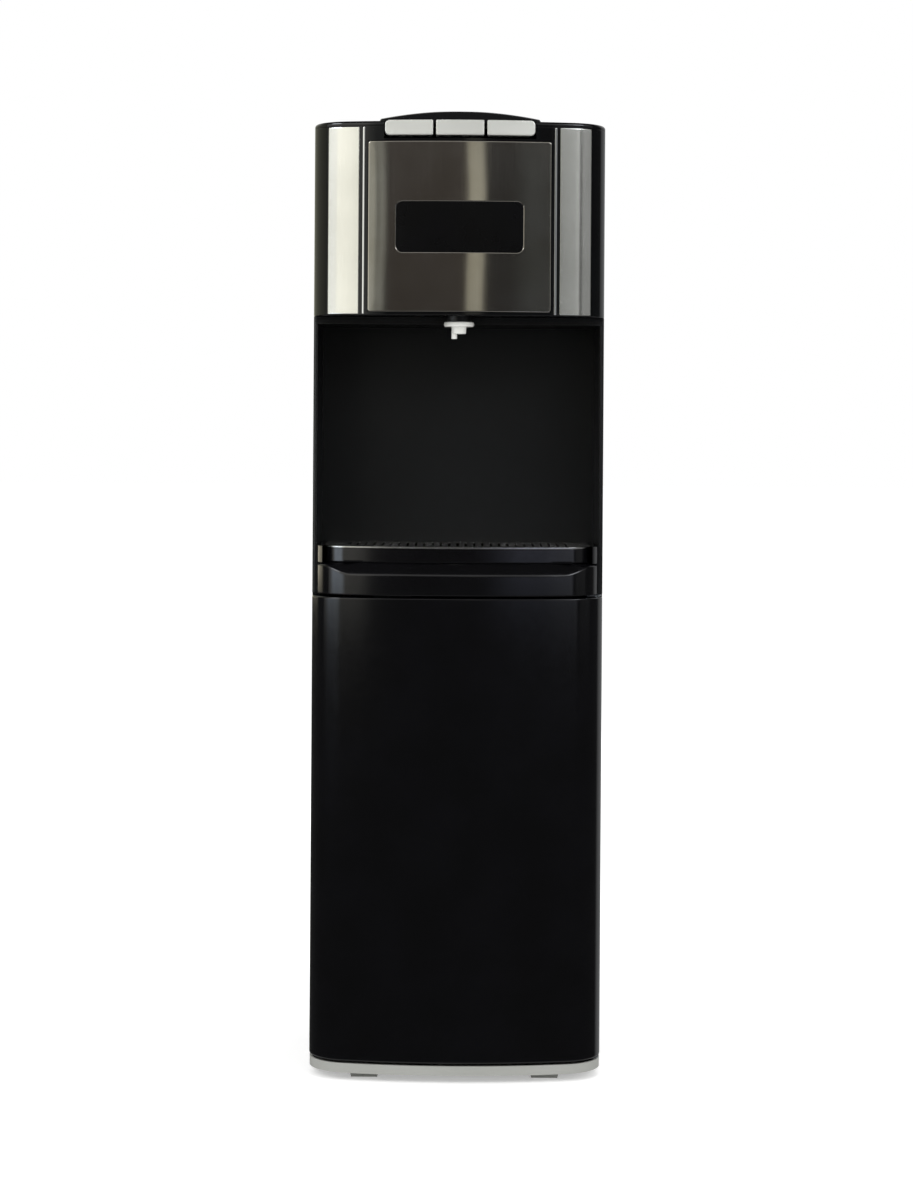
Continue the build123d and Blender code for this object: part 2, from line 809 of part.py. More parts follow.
with BuildPart() as door_panel:
    with BuildSketch(Plane.XY.offset(door_bottom)):
        cabinet(door_back)
    extrude(amount=door_height)
    outer_rims = door_panel.edges().filter_by(GeomType.LINE, reverse=True).group_by(Axis.Z)
    chamfer(outer_rims[0] + outer_rims[-1], door_edge_bevel)
    with BuildSketch(Plane.XY.offset(door_bottom + door_skin)):
        cabinet(door_back, door_skin)
    extrude(amount=door_height - 2 * door_skin, mode=Mode.SUBTRACT)
    block(
        (-door_opening_half, liner_back, door_bottom),
        (door_opening_half, door_back, door_top),
        mode=Mode.SUBTRACT,
    )
    rod(hinge_x, hinge_y, door_bottom, door_top, hinge_pin_radius + running_gap, mode=Mode.SUBTRACT)

with BuildPart() as door_liner:
    liner_low = door_bottom + door_skin
    liner_high = door_top - door_skin
    with BuildSketch(Plane.XY.offset(liner_low)):
        cabinet(seam, door_skin + side_gap)
        with Locations((0, liner_back - moulding / 2)):
            Rectangle(width, moulding, mode=Mode.INTERSECT)
    extrude(amount=liner_high - liner_low)
    for rib in range(1, liner_ribs + 1):
        middle = liner_low + rib * (liner_high - liner_low) / (liner_ribs + 1)
        block(
            (-door_opening_half + hem, liner_back - moulding - rib_depth, middle - rib_wall),
            (door_opening_half - hem, liner_back - moulding, middle + rib_wall),
        )

strike_high = door_top - door_skin - side_gap

with BuildPart() as strike_plate:
    block(
        (catch_x - catch_size[0] / 2, liner_back, strike_high - strike_height),
        (catch_x + catch_size[0] / 2, liner_back + strike_sheet, strike_high),
    )

catch_front = liner_back + strike_sheet + catch_gap

with BuildPart() as magnet_catch:
    block(
        (catch_x - catch_size[0] / 2, catch_front, band_bottom - catch_size[2]),
        (catch_x + catch_size[0] / 2, catch_front + catch_size[1], band_bottom),
    )
    chamfer(magnet_catch.edges().group_by(Axis.Z)[0].sort_by(Axis.Y)[-1], catch_bevel)

with BuildPart() as hinge_brackets:
    for plate_low in (sill_top, band_bottom - hinge_plate):
        with BuildSketch(Plane.XY.offset(plate_low)):
            cabinet(seam, base_inset + side_gap)
            with Locations(((door_opening_half - half) / 2, 0)):
                Rectangle(half + door_opening_half, depth, mode=Mode.SUBTRACT)
            with Locations((0, hinge_y - hem - depth / 2)):
                Rectangle(width, depth, mode=Mode.SUBTRACT)
        extrude(amount=hinge_plate)
    pin_reach = hinge_gap + door_skin
    for pin_low in (sill_top + hinge_plate, band_bottom - hinge_plate - pin_reach):
        rod(hinge_x, hinge_y, pin_low, pin_low + pin_reach, hinge_pin_radius)

# ---------------------------------------------------------------- tray housing, tray and grille
with BuildPart() as tray_housing:
    with BuildSketch(Plane.XY.offset(band_bottom)):
        bowed(housing_half, housing_nose, corner_radius - housing_setback, bow_radius, niche_rear)
    extrude(amount=band_height)
    with BuildSketch(Plane.YZ):
        with BuildLine():
            Polyline(
                (housing_nose - tray_setback, ledge_top - 2 * tray_setback),
                (tray_nose, ledge_top),
                (tray_nose, lip),
                (housing_nose - tray_setback, lip),
                close=True,
            )
        make_face()
    extrude(amount=half, both=True, mode=Mode.SUBTRACT)
    pocket_half = tray_half + slide_gap
    block((-pocket_half, nose, ledge_top), (pocket_half, tray_back + slide_gap, lip), mode=Mode.SUBTRACT)
    with BuildSketch(Plane.XY.offset(band_bottom + housing_floor)):
        bowed(
            housing_half,
            housing_nose,
            corner_radius - housing_setback,
            bow_radius,
            niche_rear,
            inset=tray_setback + moulding,
        )
    extrude(amount=ledge_top - cavity_roof - band_bottom - housing_floor, mode=Mode.SUBTRACT)

with BuildPart() as drip_tray:
    with BuildSketch(Plane.XY.offset(ledge_top)):
        bowed(tray_half, tray_nose, tray_corner, tray_bow, tray_back)
    extrude(amount=tray_top - ledge_top)
    with BuildSketch(Plane.XY.offset(ledge_top + tray_wall)):
        bowed(tray_half, tray_nose, tray_corner, tray_bow, tray_back - tray_wall, inset=tray_wall)
    extrude(amount=tray_top - ledge_top, mode=Mode.SUBTRACT)
    block(
        (-finger_notch[0] / 2, tray_nose - overcut, tray_top - 2 * finger_notch[1]),
        (finger_notch[0] / 2, tray_nose + tray_wall / 2, tray_top - finger_notch[1]),
        mode=Mode.SUBTRACT,
    )

with BuildPart() as drip_grille:
    with BuildSketch(Plane.XY.offset(tray_top)):
        bowed(tray_half, tray_nose, tray_corner, tray_bow, tray_back)
    extrude(amount=grille_rim + grille_sheet)
    with BuildSketch(Plane.XY.offset(tray_top)):
        bowed(tray_half, tray_nose, tray_corner, tray_bow, tray_back - tray_wall, inset=tray_wall)
    extrude(amount=grille_rim, mode=Mode.SUBTRACT)
    with BuildSketch(Plane.XY.offset(lip)):
        with Locations((0, (tray_nose + tray_back) / 2)):
            with GridLocations(grille_pitch, 1, grille_count, 1):
                Rectangle(*grille_slot)
    extrude(amount=-grille_sheet, mode=Mode.SUBTRACT)

# ---------------------------------------------------------------- dispensing recess
with BuildPart() as niche_liner:
    block((-half, seam - frame_depth, band_bottom), (half, seam, head_bottom))
    fillet(niche_liner.edges().filter_by(Axis.Z).group_by(Axis.Y)[0], frame_round)
    block((-hem_inside, seam, lip), (hem_inside, niche_rear, niche_top + moulding))
    block((-niche_half, seam - frame_depth, lip), (niche_half, niche_back, niche_top), mode=Mode.SUBTRACT)
    pillar_inside = housing_half + side_gap
    block((-pillar_inside, seam - frame_depth, band_bottom), (pillar_inside, seam, lip), mode=Mode.SUBTRACT)
    for line in (1, 2):
        groove_z = niche_top + line * brow_height / 3
        block(
            (-half, seam - frame_depth, groove_z),
            (half, seam - frame_depth + brow_groove, groove_z + brow_groove),
            mode=Mode.SUBTRACT,
        )

with BuildPart() as nozzle_collar:
    neck = upright(0, nozzle_y, head_bottom - collar_height)
    prism(neck, collar_height, collar_radius, drum_sides)
    prism(neck, collar_height, nozzle_stem_radius + side_gap, stub_sides, mode=Mode.SUBTRACT)

with BuildPart() as dispensing_nozzle:
    stem_top = head_floor_top + manifold_size[2] / 2
    prism(upright(0, nozzle_y, nozzle_flange_z), nozzle_flange[1], nozzle_flange[0], drum_sides)
    stem_foot = nozzle_flange_z + nozzle_flange[1]
    prism(upright(0, nozzle_y, stem_foot), stem_top - stem_foot, nozzle_stem_radius, stub_sides)
    outlet = upright(0, nozzle_y, spout_z)
    prism(outlet, spout_length, spout_radius, drum_sides)
    prism(outlet, stem_top - spout_z, spout_bore, stub_sides, mode=Mode.SUBTRACT)
    drip_tip = upright(tip_x, nozzle_y, spout_z - tip_length)
    prism(drip_tip, tip_length + tip_radius, tip_radius, stub_sides)
    prism(drip_tip, tip_length + tip_radius, tip_radius / 2, nut_sides, mode=Mode.SUBTRACT)

# ---------------------------------------------------------------- head
row_half = button_pitch + button_width / 2
notch_half = row_half + button_gap
button_low = cover_top + button_rise - button_height
notch_low = button_low - button_travel - side_gap
button_back = nose + button_depth
display_z = head_bottom + window_low + window_height / 2
board_y = nose + head_skin + board_post_length

head_fronts = [panel_front] + [front(side) for front in (strip_front, wing_front) for side in (-1, 1)]
head_pockets = [trim_pocket(trim_depth, front) for front in head_fronts]
window_hole = trim_pocket(head_skin, window_front)

with BuildPart() as head_housing:
    with BuildSketch(Plane.XY.offset(head_bottom)):
        cabinet(seam)
        cabinet(seam, head_skin, mode=Mode.SUBTRACT)
    extrude(amount=head_height)
    with BuildSketch(Plane.XY.offset(head_bottom)):
        cabinet(seam)
    extrude(amount=head_floor)
    post_x = board_size[0] / 2 - board_post_radius
    post_z = board_size[1] / 2 - board_post_radius
    post_start = bow_y(post_x, head_skin) - head_skin / 4
    for x, z in ((-post_x, -post_z), (post_x, -post_z), (-post_x, post_z), (post_x, post_z)):
        prism(rearward(x, post_start, display_z + z), board_y - post_start, board_post_radius, nut_sides)
    neck = upright(0, nozzle_y, head_bottom)
    prism(neck, head_floor, nozzle_stem_radius + side_gap, stub_sides, mode=Mode.SUBTRACT)
    for pocket in head_pockets:
        add(pocket, mode=Mode.SUBTRACT)
    block(
        (-display_opening[0] / 2, nose - overcut, display_z - display_opening[1] / 2),
        (display_opening[0] / 2, nose + 2 * head_skin, display_z + display_opening[1] / 2),
        mode=Mode.SUBTRACT,
    )
    block((-notch_half, nose - overcut, notch_low), (notch_half, button_back, head_top), mode=Mode.SUBTRACT)

with BuildPart() as centre_panel:
    draw_trim(trim_depth, 0, 0, panel_front)
    add(window_hole, mode=Mode.SUBTRACT)

with BuildPart() as window_lens:
    draw_trim(trim_depth - window_recess, window_recess, 0, window_front)

with BuildPart() as wing_left:
    draw_trim(trim_depth, 0, 0, wing_front(-1))

with BuildPart() as wing_right:
    draw_trim(trim_depth, 0, 0, wing_front(1))

with BuildPart() as trim_strips:
    draw_trim(trim_depth, 0, 0, both_strips)

with BuildPart() as control_board:
    block(
        (-board_size[0] / 2, board_y, display_z - board_size[1] / 2),
        (board_size[0] / 2, board_y + board_size[2], display_z + board_size[1] / 2),
    )
    digit_height = display_opening[1] - 2 * moulding
    for digit in (-1, 0, 1):
        middle = digit * display_opening[0] / 3
        block(
            (middle - digit_height / 3, board_y - board_post_length / 2, display_z - digit_height / 2),
            (middle + digit_height / 3, board_y, display_z + digit_height / 2),
        )
    block(
        (-board_size[0] / 4, board_y + board_size[2], display_z - board_size[1] / 4),
        (board_size[0] / 4, board_y + board_size[2] + board_post_length, display_z),
    )

# ---------------------------------------------------------------- top cover with its pod
pod_front = button_back + button_gap
pod_back = pod_front + pod_length
pod_rise = pod_crown_height - pod_edge_height


def pod_solid(inset):
    """Crowned pod: an arched front view met by a sloping side view, both drawn inset."""
    with BuildPart() as pod:
        edge_z = cover_top + pod_edge_height - inset
        crown_z = cover_top + pod_crown_height - inset
        with BuildSketch(Plane.XZ.offset(-pod_back)) as arch:
            with BuildLine() as arch_line:
                side = pod_half - inset
                Polyline((-side, edge_z), (-side, head_top), (side, head_top), (side, edge_z))
                ThreePointArc((side, edge_z), (0, crown_z), (-side, edge_z))
            make_face(arch_line.edges())
        extrude(arch.sketch, amount=pod_length)
        with BuildSketch(Plane.YZ) as profile:
            with BuildLine() as profile_line:
                Polyline(
                    (pod_front + inset, head_top),
                    (pod_front + inset, cover_top + button_rise / 2),
                    (pod_front + pod_front_run, crown_z),
                    (pod_back - pod_back_run, crown_z),
                    (pod_back - inset, cover_top),
                    (pod_back - inset, head_top),
                    close=True,
                )
            make_face(profile_line.edges())
        extrude(profile.sketch, amount=pod_half, both=True, mode=Mode.INTERSECT)
    return pod.part


pod_outside = pod_solid(0)
pod_inside = pod_solid(cover_wall)

with BuildPart() as top_cover:
    with BuildSketch(Plane.XY.offset(head_top)):
        cabinet(rear_face)
    extrude(amount=cover_height)
    chamfer(top_cover.edges().group_by(Axis.Z)[-1], cover_edge_bevel)
    with BuildSketch(Plane.XY.offset(head_top - cover_rim)):
        with Locations((0, (seam + back) / 2)):
            rim_half = panel_inside - side_gap
            rim_length = back - seam - 2 * flange
            Rectangle(2 * rim_half, rim_length)
            Rectangle(2 * (rim_half - cover_wall), rim_length, mode=Mode.SUBTRACT)
    extrude(amount=cover_rim)
    block((-notch_half, nose - overcut, head_top), (notch_half, pod_front, cover_top), mode=Mode.SUBTRACT)
    add(pod_outside)
    add(pod_inside, mode=Mode.SUBTRACT)

# ---------------------------------------------------------------- push buttons
carrier_top = head_top - carrier_drop
boss_bottom = carrier_top + 2 * spring_radius + spring_wire * spring_turns * 2
spring_y = (nose + head_skin + button_back) / 2 + 1
post_bottom = carrier_top + switch_size[2] + button_travel + switch_clearance


def draw_button(place):
    """Hollow push button, open below, with a spring boss and a switch post."""
    x = place * button_pitch
    top = cover_top + button_rise
    with BuildSketch(Plane.XY.offset(button_low)) as plan:
        cabinet_front(button_back, button_setback)
    extrude(plan.sketch, amount=button_height)
    with BuildSketch(Plane.XZ) as front:
        with Locations((x, button_low + button_height / 2)):
            Rectangle(button_width, button_height)
        if place:
            outer_end = front.vertices().group_by(Axis.X)[min(0, -place)]
            fillet(outer_end, button_end_round)
    extrude(front.sketch, amount=-nose + overcut, mode=Mode.INTERSECT)
    with BuildSketch(Plane.XY.offset(button_low)) as inside:
        cabinet_front(button_back - button_wall, button_setback + button_wall)
        with Locations((x, 0)):
            Rectangle(button_width - 2 * button_end_round, 2 * depth, mode=Mode.INTERSECT)
    extrude(inside.sketch, amount=button_height - button_wall, mode=Mode.SUBTRACT)
    boss = upright(x + spring_x, spring_y, boss_bottom)
    prism(boss, top - button_wall - boss_bottom, spring_radius + 2 * spring_wire, stub_sides)
    post = upright(x, spring_y, post_bottom)
    prism(post, top - button_wall - post_bottom, post_radius, nut_sides)


def draw_spring(place):
    """Return spring between the carrier and the button's boss."""
    height = boss_bottom - carrier_top - 2 * spring_wire
    centre = (place * button_pitch + spring_x, spring_y, carrier_top + spring_wire)
    pitch = height / spring_turns
    coil(centre, spring_radius, spring_turns, pitch, spring_wire, spring_sides, spring_flats)


with BuildPart() as hot_button:
    draw_button(-1)

with BuildPart() as room_button:
    draw_button(0)

with BuildPart() as cold_button:
    draw_button(1)

with BuildPart() as hot_spring:
    draw_spring(-1)

with BuildPart() as room_spring:
    draw_spring(0)

with BuildPart() as cold_spring:
    draw_spring(1)

with BuildPart() as button_carrier:
    tab_inside = notch_half + side_gap
    carrier_front = nose + head_skin + button_setback + 2 * side_gap
    block(
        (-tab_inside - moulding, carrier_front + 2 * moulding, carrier_top - carrier_sheet),
        (tab_inside + moulding, button_back, carrier_top),
    )
    for side in (-1, 1):
        tab = side * (tab_inside + moulding / 2)
        block(
            (tab - moulding / 2, carrier_front + 3 * moulding, carrier_top - carrier_sheet),
            (tab + moulding / 2, button_back, head_top),
        )

with BuildPart() as microswitches:
    for place in (-1, 0, 1):
        x = place * button_pitch
        block(
            (x - switch_size[0] / 2, spring_y - switch_size[1] / 2, carrier_top),
            (x + switch_size[0] / 2, spring_y + switch_size[1] / 2, carrier_top + switch_size[2]),
        )

# ---------------------------------------------------------------- shelves
def draw_shelf(low, front_y, holes):
    """Steel shelf between the side panels, its edges turned up, with holes for tubes."""
    block((-panel_inside, front_y, low), (panel_inside, back - sheet, low + shelf_sheet))
    for side in (-1, 1):
        edge = side * (panel_inside - shelf_sheet / 2)
        block(
            (edge - shelf_sheet / 2, front_y + hem, low),
            (edge + shelf_sheet / 2, back - sheet, low + shelf_flange),
        )
    for x, y, radius in holes:
        prism(upright(x, y, low), shelf_sheet, radius, stub_sides, mode=Mode.SUBTRACT)


with BuildPart() as compressor_shelf:
    draw_shelf(
        band_bottom,
        niche_rear + side_gap,
        [(union_x, union_y, barb_radius + pipe_gap), (liquid_x, line_y, capillary_radius + pipe_gap)],
    )

with BuildPart() as tank_shelf:
    draw_shelf(
        tank_shelf_z,
        seam + hem + side_gap,
        [
            (riser_x, cold_tank_y, water_tube + pipe_gap),
            (suction_x, line_y, refrigerant_tube + pipe_gap),
            (liquid_x, line_y, capillary_radius + pipe_gap),
        ],
    )


def jacket_face_y(x):
    """Y of the cold tank jacket's rear face at a distance to the side."""
    return cold_tank_y + sqrt(jacket_radius**2 - (x - cold_tank_x) ** 2)


def jacket_front_y(x):
    """Y of the jacket's front face at a distance to the side."""
    return 2 * cold_tank_y - jacket_face_y(x)


# ---------------------------------------------------------------- refrigeration
plate_z = shelf_top + grommet_height
stub_y = compressor_y + compressor_radius + stub_reach

with BuildPart() as compressor_grommets:
    with BuildSketch(Plane.XY.offset(shelf_top)):
        with Locations((compressor_x, compressor_y)):
            with GridLocations(
                compressor_plate[0] - 2 * grommet_inset, compressor_plate[1] - 2 * grommet_inset, 2, 2
            ):
                RegularPolygon(grommet_radius, stub_sides)
    extrude(amount=grommet_height)

side_top = shell_z + compressor_height - sum(rise for _, rise in compressor_dome)

with BuildPart() as compressor:
    prism(upright(compressor_x, compressor_y, shell_z), side_top - shell_z, compressor_radius, drum_sides)
    chamfer(compressor.edges().group_by(Axis.Z)[0], compressor_foot)
    seam_z, seam_lip = compressor_seam
    weld = upright(compressor_x, compressor_y, shell_z + seam_z)
    prism(weld, seam_lip, compressor_radius + seam_lip, drum_sides)
    band_low, band_radius = side_top, compressor_radius
    for draw, rise in compressor_dome:
        prism(upright(compressor_x, compressor_y, band_low), rise, band_radius, drum_sides, draw)
        band_low, band_radius = band_low + rise, band_radius - draw
    with Locations((compressor_x, compressor_y, plate_z + shelf_sheet / 2)):
        Box(compressor_plate[0], compressor_plate[1], shelf_sheet)
    for stub_x, stub_z in ((discharge_x, discharge_z), (suction_x, suction_z)):
        prism(rearward(stub_x, compressor_y, stub_z), stub_y - compressor_y, stub_radius, stub_sides)
    box_x = compressor_x + compressor_radius - terminal_sink
    box_z = shell_z + terminal_rise
    block(
        (box_x, compressor_y - terminal_box[1] / 2, box_z),
        (box_x + terminal_box[0], compressor_y + terminal_box[1] / 2, box_z + terminal_box[2]),
    )

drier_low = condenser_low + drier_rise

with BuildPart() as filter_drier:
    prism(upright(liquid_x, line_y, drier_low), drier_length, drier_radius, stub_sides)
    chamfer(filter_drier.edges().filter_by(Plane.XY), drier_radius / 2)

with BuildPart() as refrigerant_lines:
    discharge_start = discharge_z - 2 * refrigerant_bend
    tube(
        [
            (condenser_half, condenser_y, discharge_start),
            (condenser_half, condenser_y, discharge_z),
            (condenser_half, line_y, discharge_z),
            (discharge_x, line_y, discharge_z),
            (discharge_x, stub_y, discharge_z),
        ],
        refrigerant_tube,
        refrigerant_bend,
    )
    tube(
        [
            (suction_x, stub_y, suction_z),
            (suction_x, line_y, suction_z),
            (suction_x, line_y, port_z),
            (suction_x, jacket_face_y(suction_x) - port_depth, port_z),
        ],
        refrigerant_tube,
        refrigerant_bend,
    )
    tube(
        [
            (-run_half, condenser_y, condenser_low),
            (liquid_x, condenser_y, condenser_low),
            (liquid_x, line_y, condenser_low),
            (liquid_x, line_y, drier_low),
        ],
        condenser_tube_radius,
        liquid_bend,
    )
    tube(
        [
            (liquid_x, line_y, drier_low + drier_length),
            (liquid_x, line_y, port_z),
            (liquid_x, jacket_face_y(liquid_x) - port_depth, port_z),
        ],
        capillary_radius,
        liquid_bend,
    )

# ---------------------------------------------------------------- tanks
cold_floor = tank_shelf_top + jacket_floor
cold_top = cold_floor + cold_tank_height

cold_shell = (cold_tank_x, cold_tank_y, cold_floor, cold_top, cold_tank_radius, tank_dome)
cold_outside = vessel(*cold_shell)
cold_inside = vessel(*cold_shell, tank_wall)

with BuildPart() as cold_tank:
    add(cold_outside)
    add(cold_inside, mode=Mode.SUBTRACT)
    outlet = rearward(cold_tank_x, cold_tank_y - cold_tank_radius, port_z)
    prism(outlet, cold_tank_radius, water_tube, nut_sides, mode=Mode.SUBTRACT)

with BuildPart() as cold_tank_jacket:
    jacket_height = cold_top + jacket_wall - tank_shelf_top
    prism(upright(cold_tank_x, cold_tank_y, tank_shelf_top), jacket_height, jacket_radius, drum_sides)
    hollow = upright(cold_tank_x, cold_tank_y, cold_floor)
    hollow_height = cold_tank_height + side_gap
    prism(hollow, hollow_height, jacket_radius - jacket_wall, drum_sides, mode=Mode.SUBTRACT)
    for x, radius in ((suction_x, refrigerant_tube), (liquid_x, capillary_radius)):
        hole = rearward(x, jacket_face_y(x) - port_depth, port_z)
        hole_length = back - jacket_face_y(x) + port_depth
        prism(hole, hole_length, radius + pipe_gap, nut_sides, mode=Mode.SUBTRACT)
    for x, z in (cold_port, room_port):
        hole = rearward(x, cross_y, z)
        hole_length = jacket_front_y(x) + port_depth - cross_y
        prism(hole, hole_length, water_tube + pipe_gap, nut_sides, mode=Mode.SUBTRACT)
    inlet = Plane((cold_tank_x + jacket_radius - port_depth, cold_tank_y, port_z), z_dir=(1, 0, 0))
    prism(inlet, 2 * port_depth, water_tube + pipe_gap, nut_sides, mode=Mode.SUBTRACT)

with BuildPart() as evaporator_coil:
    coil_low = cold_floor + (cold_tank_height - coil_turns * coil_pitch) / 2
    coil(
        (cold_tank_x, cold_tank_y, coil_low),
        cold_tank_radius + coil_radius + coil_gap,
        coil_turns,
        coil_pitch,
        coil_radius,
        tube_sides,
        tube_flats,
    )

hot_floor = tank_shelf_top + tank_leg[1]

hot_port_y = hot_tank_y - hot_tank_radius - stub_reach
hot_shell = (hot_tank_x, hot_tank_y, hot_floor, hot_floor + hot_tank_height, hot_tank_radius, tank_dome)
hot_outside = vessel(*hot_shell)
hot_inside = vessel(*hot_shell, tank_wall)

with BuildPart() as hot_tank:
    add(hot_outside)
    with BuildSketch(Plane.XY.offset(tank_shelf_top)):
        with Locations((hot_tank_x, hot_tank_y)):
            with PolarLocations(hot_tank_radius - tank_dome - leg_inset, 3, start_angle=90):
                RegularPolygon(tank_leg[0], nut_sides)
    extrude(amount=tank_leg[1])
    outlet = rearward(hot_tank_x, hot_port_y, port_z)
    prism(outlet, hot_tank_radius, stub_radius, stub_sides)
    add(hot_inside, mode=Mode.SUBTRACT)
    prism(outlet, hot_tank_radius, stub_radius - tank_wall, nut_sides, mode=Mode.SUBTRACT)

# ---------------------------------------------------------------- water path
with BuildPart() as valve_manifold:
    block(
        (-manifold_size[0] / 2, nozzle_y - manifold_size[1] / 2, head_floor_top),
        (manifold_size[0] / 2, nozzle_y + manifold_size[1] / 2, head_floor_top + manifold_size[2]),
    )
    inlet = upright(0, nozzle_y, head_floor_top)
    prism(inlet, manifold_size[2] / 2, nozzle_stem_radius, stub_sides, mode=Mode.SUBTRACT)

valve_z = head_floor_top + manifold_size[2]

with BuildPart() as solenoid_valves:
    for place in (-1, 0, 1):
        x = place * valve_pitch
        prism(upright(x, nozzle_y, valve_z), valve_neck[1], valve_neck[0], nut_sides)
        block(
            (x - valve_size[0] / 2, nozzle_y - valve_size[1] / 2, valve_z + valve_neck[1]),
            (x + valve_size[0] / 2, nozzle_y + valve_size[1] / 2, valve_z + valve_neck[1] + valve_size[2]),
        )

pump_y = cold_tank_y
pump_z = shelf_top + pump_foot + pump_radius
pump_outlet_x = pump_x + pump_length / 4
pump_outlet_z = pump_z + pump_radius + stub_reach

with BuildPart() as water_pump:
    barrel = Plane((pump_x - pump_length / 2, pump_y, pump_z), z_dir=(1, 0, 0))
    prism(barrel, pump_length, pump_radius, drum_sides)
    with Locations((pump_x, pump_y, pump_z)):
        Box(pump_band[0], 2 * (pump_radius + pump_band[1]), 2 * (pump_radius + pump_band[2]))
    prism(upright(pump_outlet_x, pump_y, pump_z), pump_radius + stub_reach, stub_radius, stub_sides)
    block(
        (pump_x - pump_length / 3, pump_y - pump_radius, shelf_top),
        (pump_x + pump_length / 3, pump_y + pump_radius, pump_z - pump_radius / 2),
    )

with BuildPart() as water_lines:
    union_end = shelf_top + barb_length
    feed_y = union_y + 2 * water_bend + water_tube
    feed_x = pump_x - pump_length / 2 - 2 * water_bend
    valve_back = nozzle_y + valve_size[1] / 2
    tube(
        [
            (union_x, union_y, union_end),
            (union_x, union_y, pump_z),
            (union_x, feed_y, pump_z),
            (feed_x, feed_y, pump_z),
            (feed_x, pump_y, pump_z),
            (pump_x - pump_length / 2, pump_y, pump_z),
        ],
        water_tube,
        water_bend,
    )
    tube(
        [
            (pump_outlet_x, pump_y, pump_outlet_z),
            (pump_outlet_x, pump_y, riser_turn_z),
            (riser_x, pump_y, riser_turn_z),
            (riser_x, pump_y, port_z),
            (cold_tank_x + jacket_radius - port_depth, pump_y, port_z),
        ],
        water_tube,
        water_bend,
    )
    for port_x, start_y, place in (
        (cold_port[0], jacket_front_y(cold_port[0]) + port_depth, 1),
        (hot_tank_x, hot_port_y, -1),
    ):
        valve_x = -place * valve_pitch
        tube(
            [
                (port_x, start_y, port_z),
                (port_x, cross_y, port_z),
                (valve_x, cross_y, port_z),
                (valve_x, valve_back, port_z),
            ],
            water_tube,
            water_bend,
        )
    room_length = jacket_front_y(room_port[0]) + port_depth - valve_back
    prism(rearward(room_port[0], valve_back, port_z), room_length, water_tube, tube_sides)

# ---------------------------------------------------------------- rear fittings
with BuildPart() as switch_frames:
    for height in switch_z:
        block(
            (switch_x - switch_flange[0] / 2, rear_face, height - switch_flange[1] / 2),
            (switch_x + switch_flange[0] / 2, rear_face + switch_flange[2], height + switch_flange[1] / 2),
        )
        hole_x, hole_z = switch_opening[0] / 2, switch_opening[1] / 2
        block(
            (switch_x - hole_x - switch_wall, rear_face - switch_body_depth, height - hole_z - switch_wall),
            (switch_x + hole_x + switch_wall, rear_face, height + hole_z + switch_wall),
        )
        block(
            (switch_x - hole_x, rear_face - switch_body_depth + 2 * switch_wall, height - hole_z),
            (switch_x + hole_x, rear_face + switch_flange[2], height + hole_z),
            mode=Mode.SUBTRACT,
        )


def draw_rocker(height):
    """Rocker with a shallow valley in its face, resting tipped to its off side."""
    tip = radians(rocker_angle)
    pivot = (switch_x - switch_opening[0] / 2 + side_gap, rear_face - sheet, height)
    plane = Plane(pivot, x_dir=(0, cos(tip), sin(tip)), z_dir=(1, 0, 0))
    with BuildSketch(plane) as profile:
        with BuildLine() as outline:
            Polyline(
                (-rocker_root, -rocker_half),
                (rocker_throw, -rocker_half),
                (rocker_valley, 0),
                (rocker_throw, rocker_half),
                (-rocker_root, rocker_half),
                close=True,
            )
        make_face(outline.edges())
    extrude(profile.sketch, amount=switch_opening[0] - 2 * side_gap)


with BuildPart() as hot_rocker:
    draw_rocker(switch_z[0])

with BuildPart() as cold_rocker:
    draw_rocker(switch_z[1])

with BuildPart() as drain_spout:
    drain_through = rear_face - back + 2 * drain_length
    inner_end = rearward(drain_x, back - drain_length, drain_z)
    prism(inner_end, drain_through - drain_length, drain_radius, stub_sides)
    prism(rearward(drain_x, rear_face, drain_z), drain_nut[1], drain_nut[0], nut_sides)
    rod_y(drain_x, drain_z, rear_face + drain_nut[1], rear_face + drain_length, drain_radius)
    prism(inner_end, drain_through, drain_bore, stub_sides, mode=Mode.SUBTRACT)

with BuildPart() as drain_cap:
    cap_start = rear_face + drain_nut[1] + side_gap
    prism(rearward(drain_x, cap_start, drain_z), cap_length, cap_radius, cap_sides)
    rod_y(
        drain_x,
        drain_z,
        cap_start,
        rear_face + drain_length + side_gap,
        drain_radius + running_gap,
        mode=Mode.SUBTRACT,
    )

with BuildPart() as cord_gland:
    gland_through = rear_face - back + 2 * gland_length
    prism(rearward(gland_x, back - gland_length, gland_z), gland_through, gland_radius, stub_sides)
    prism(rearward(gland_x, rear_face, gland_z), gland_nut[1], gland_nut[0], nut_sides)
    rod_y(gland_x, gland_z, back - gland_length, rear_face + gland_length, gland_bore, mode=Mode.SUBTRACT)

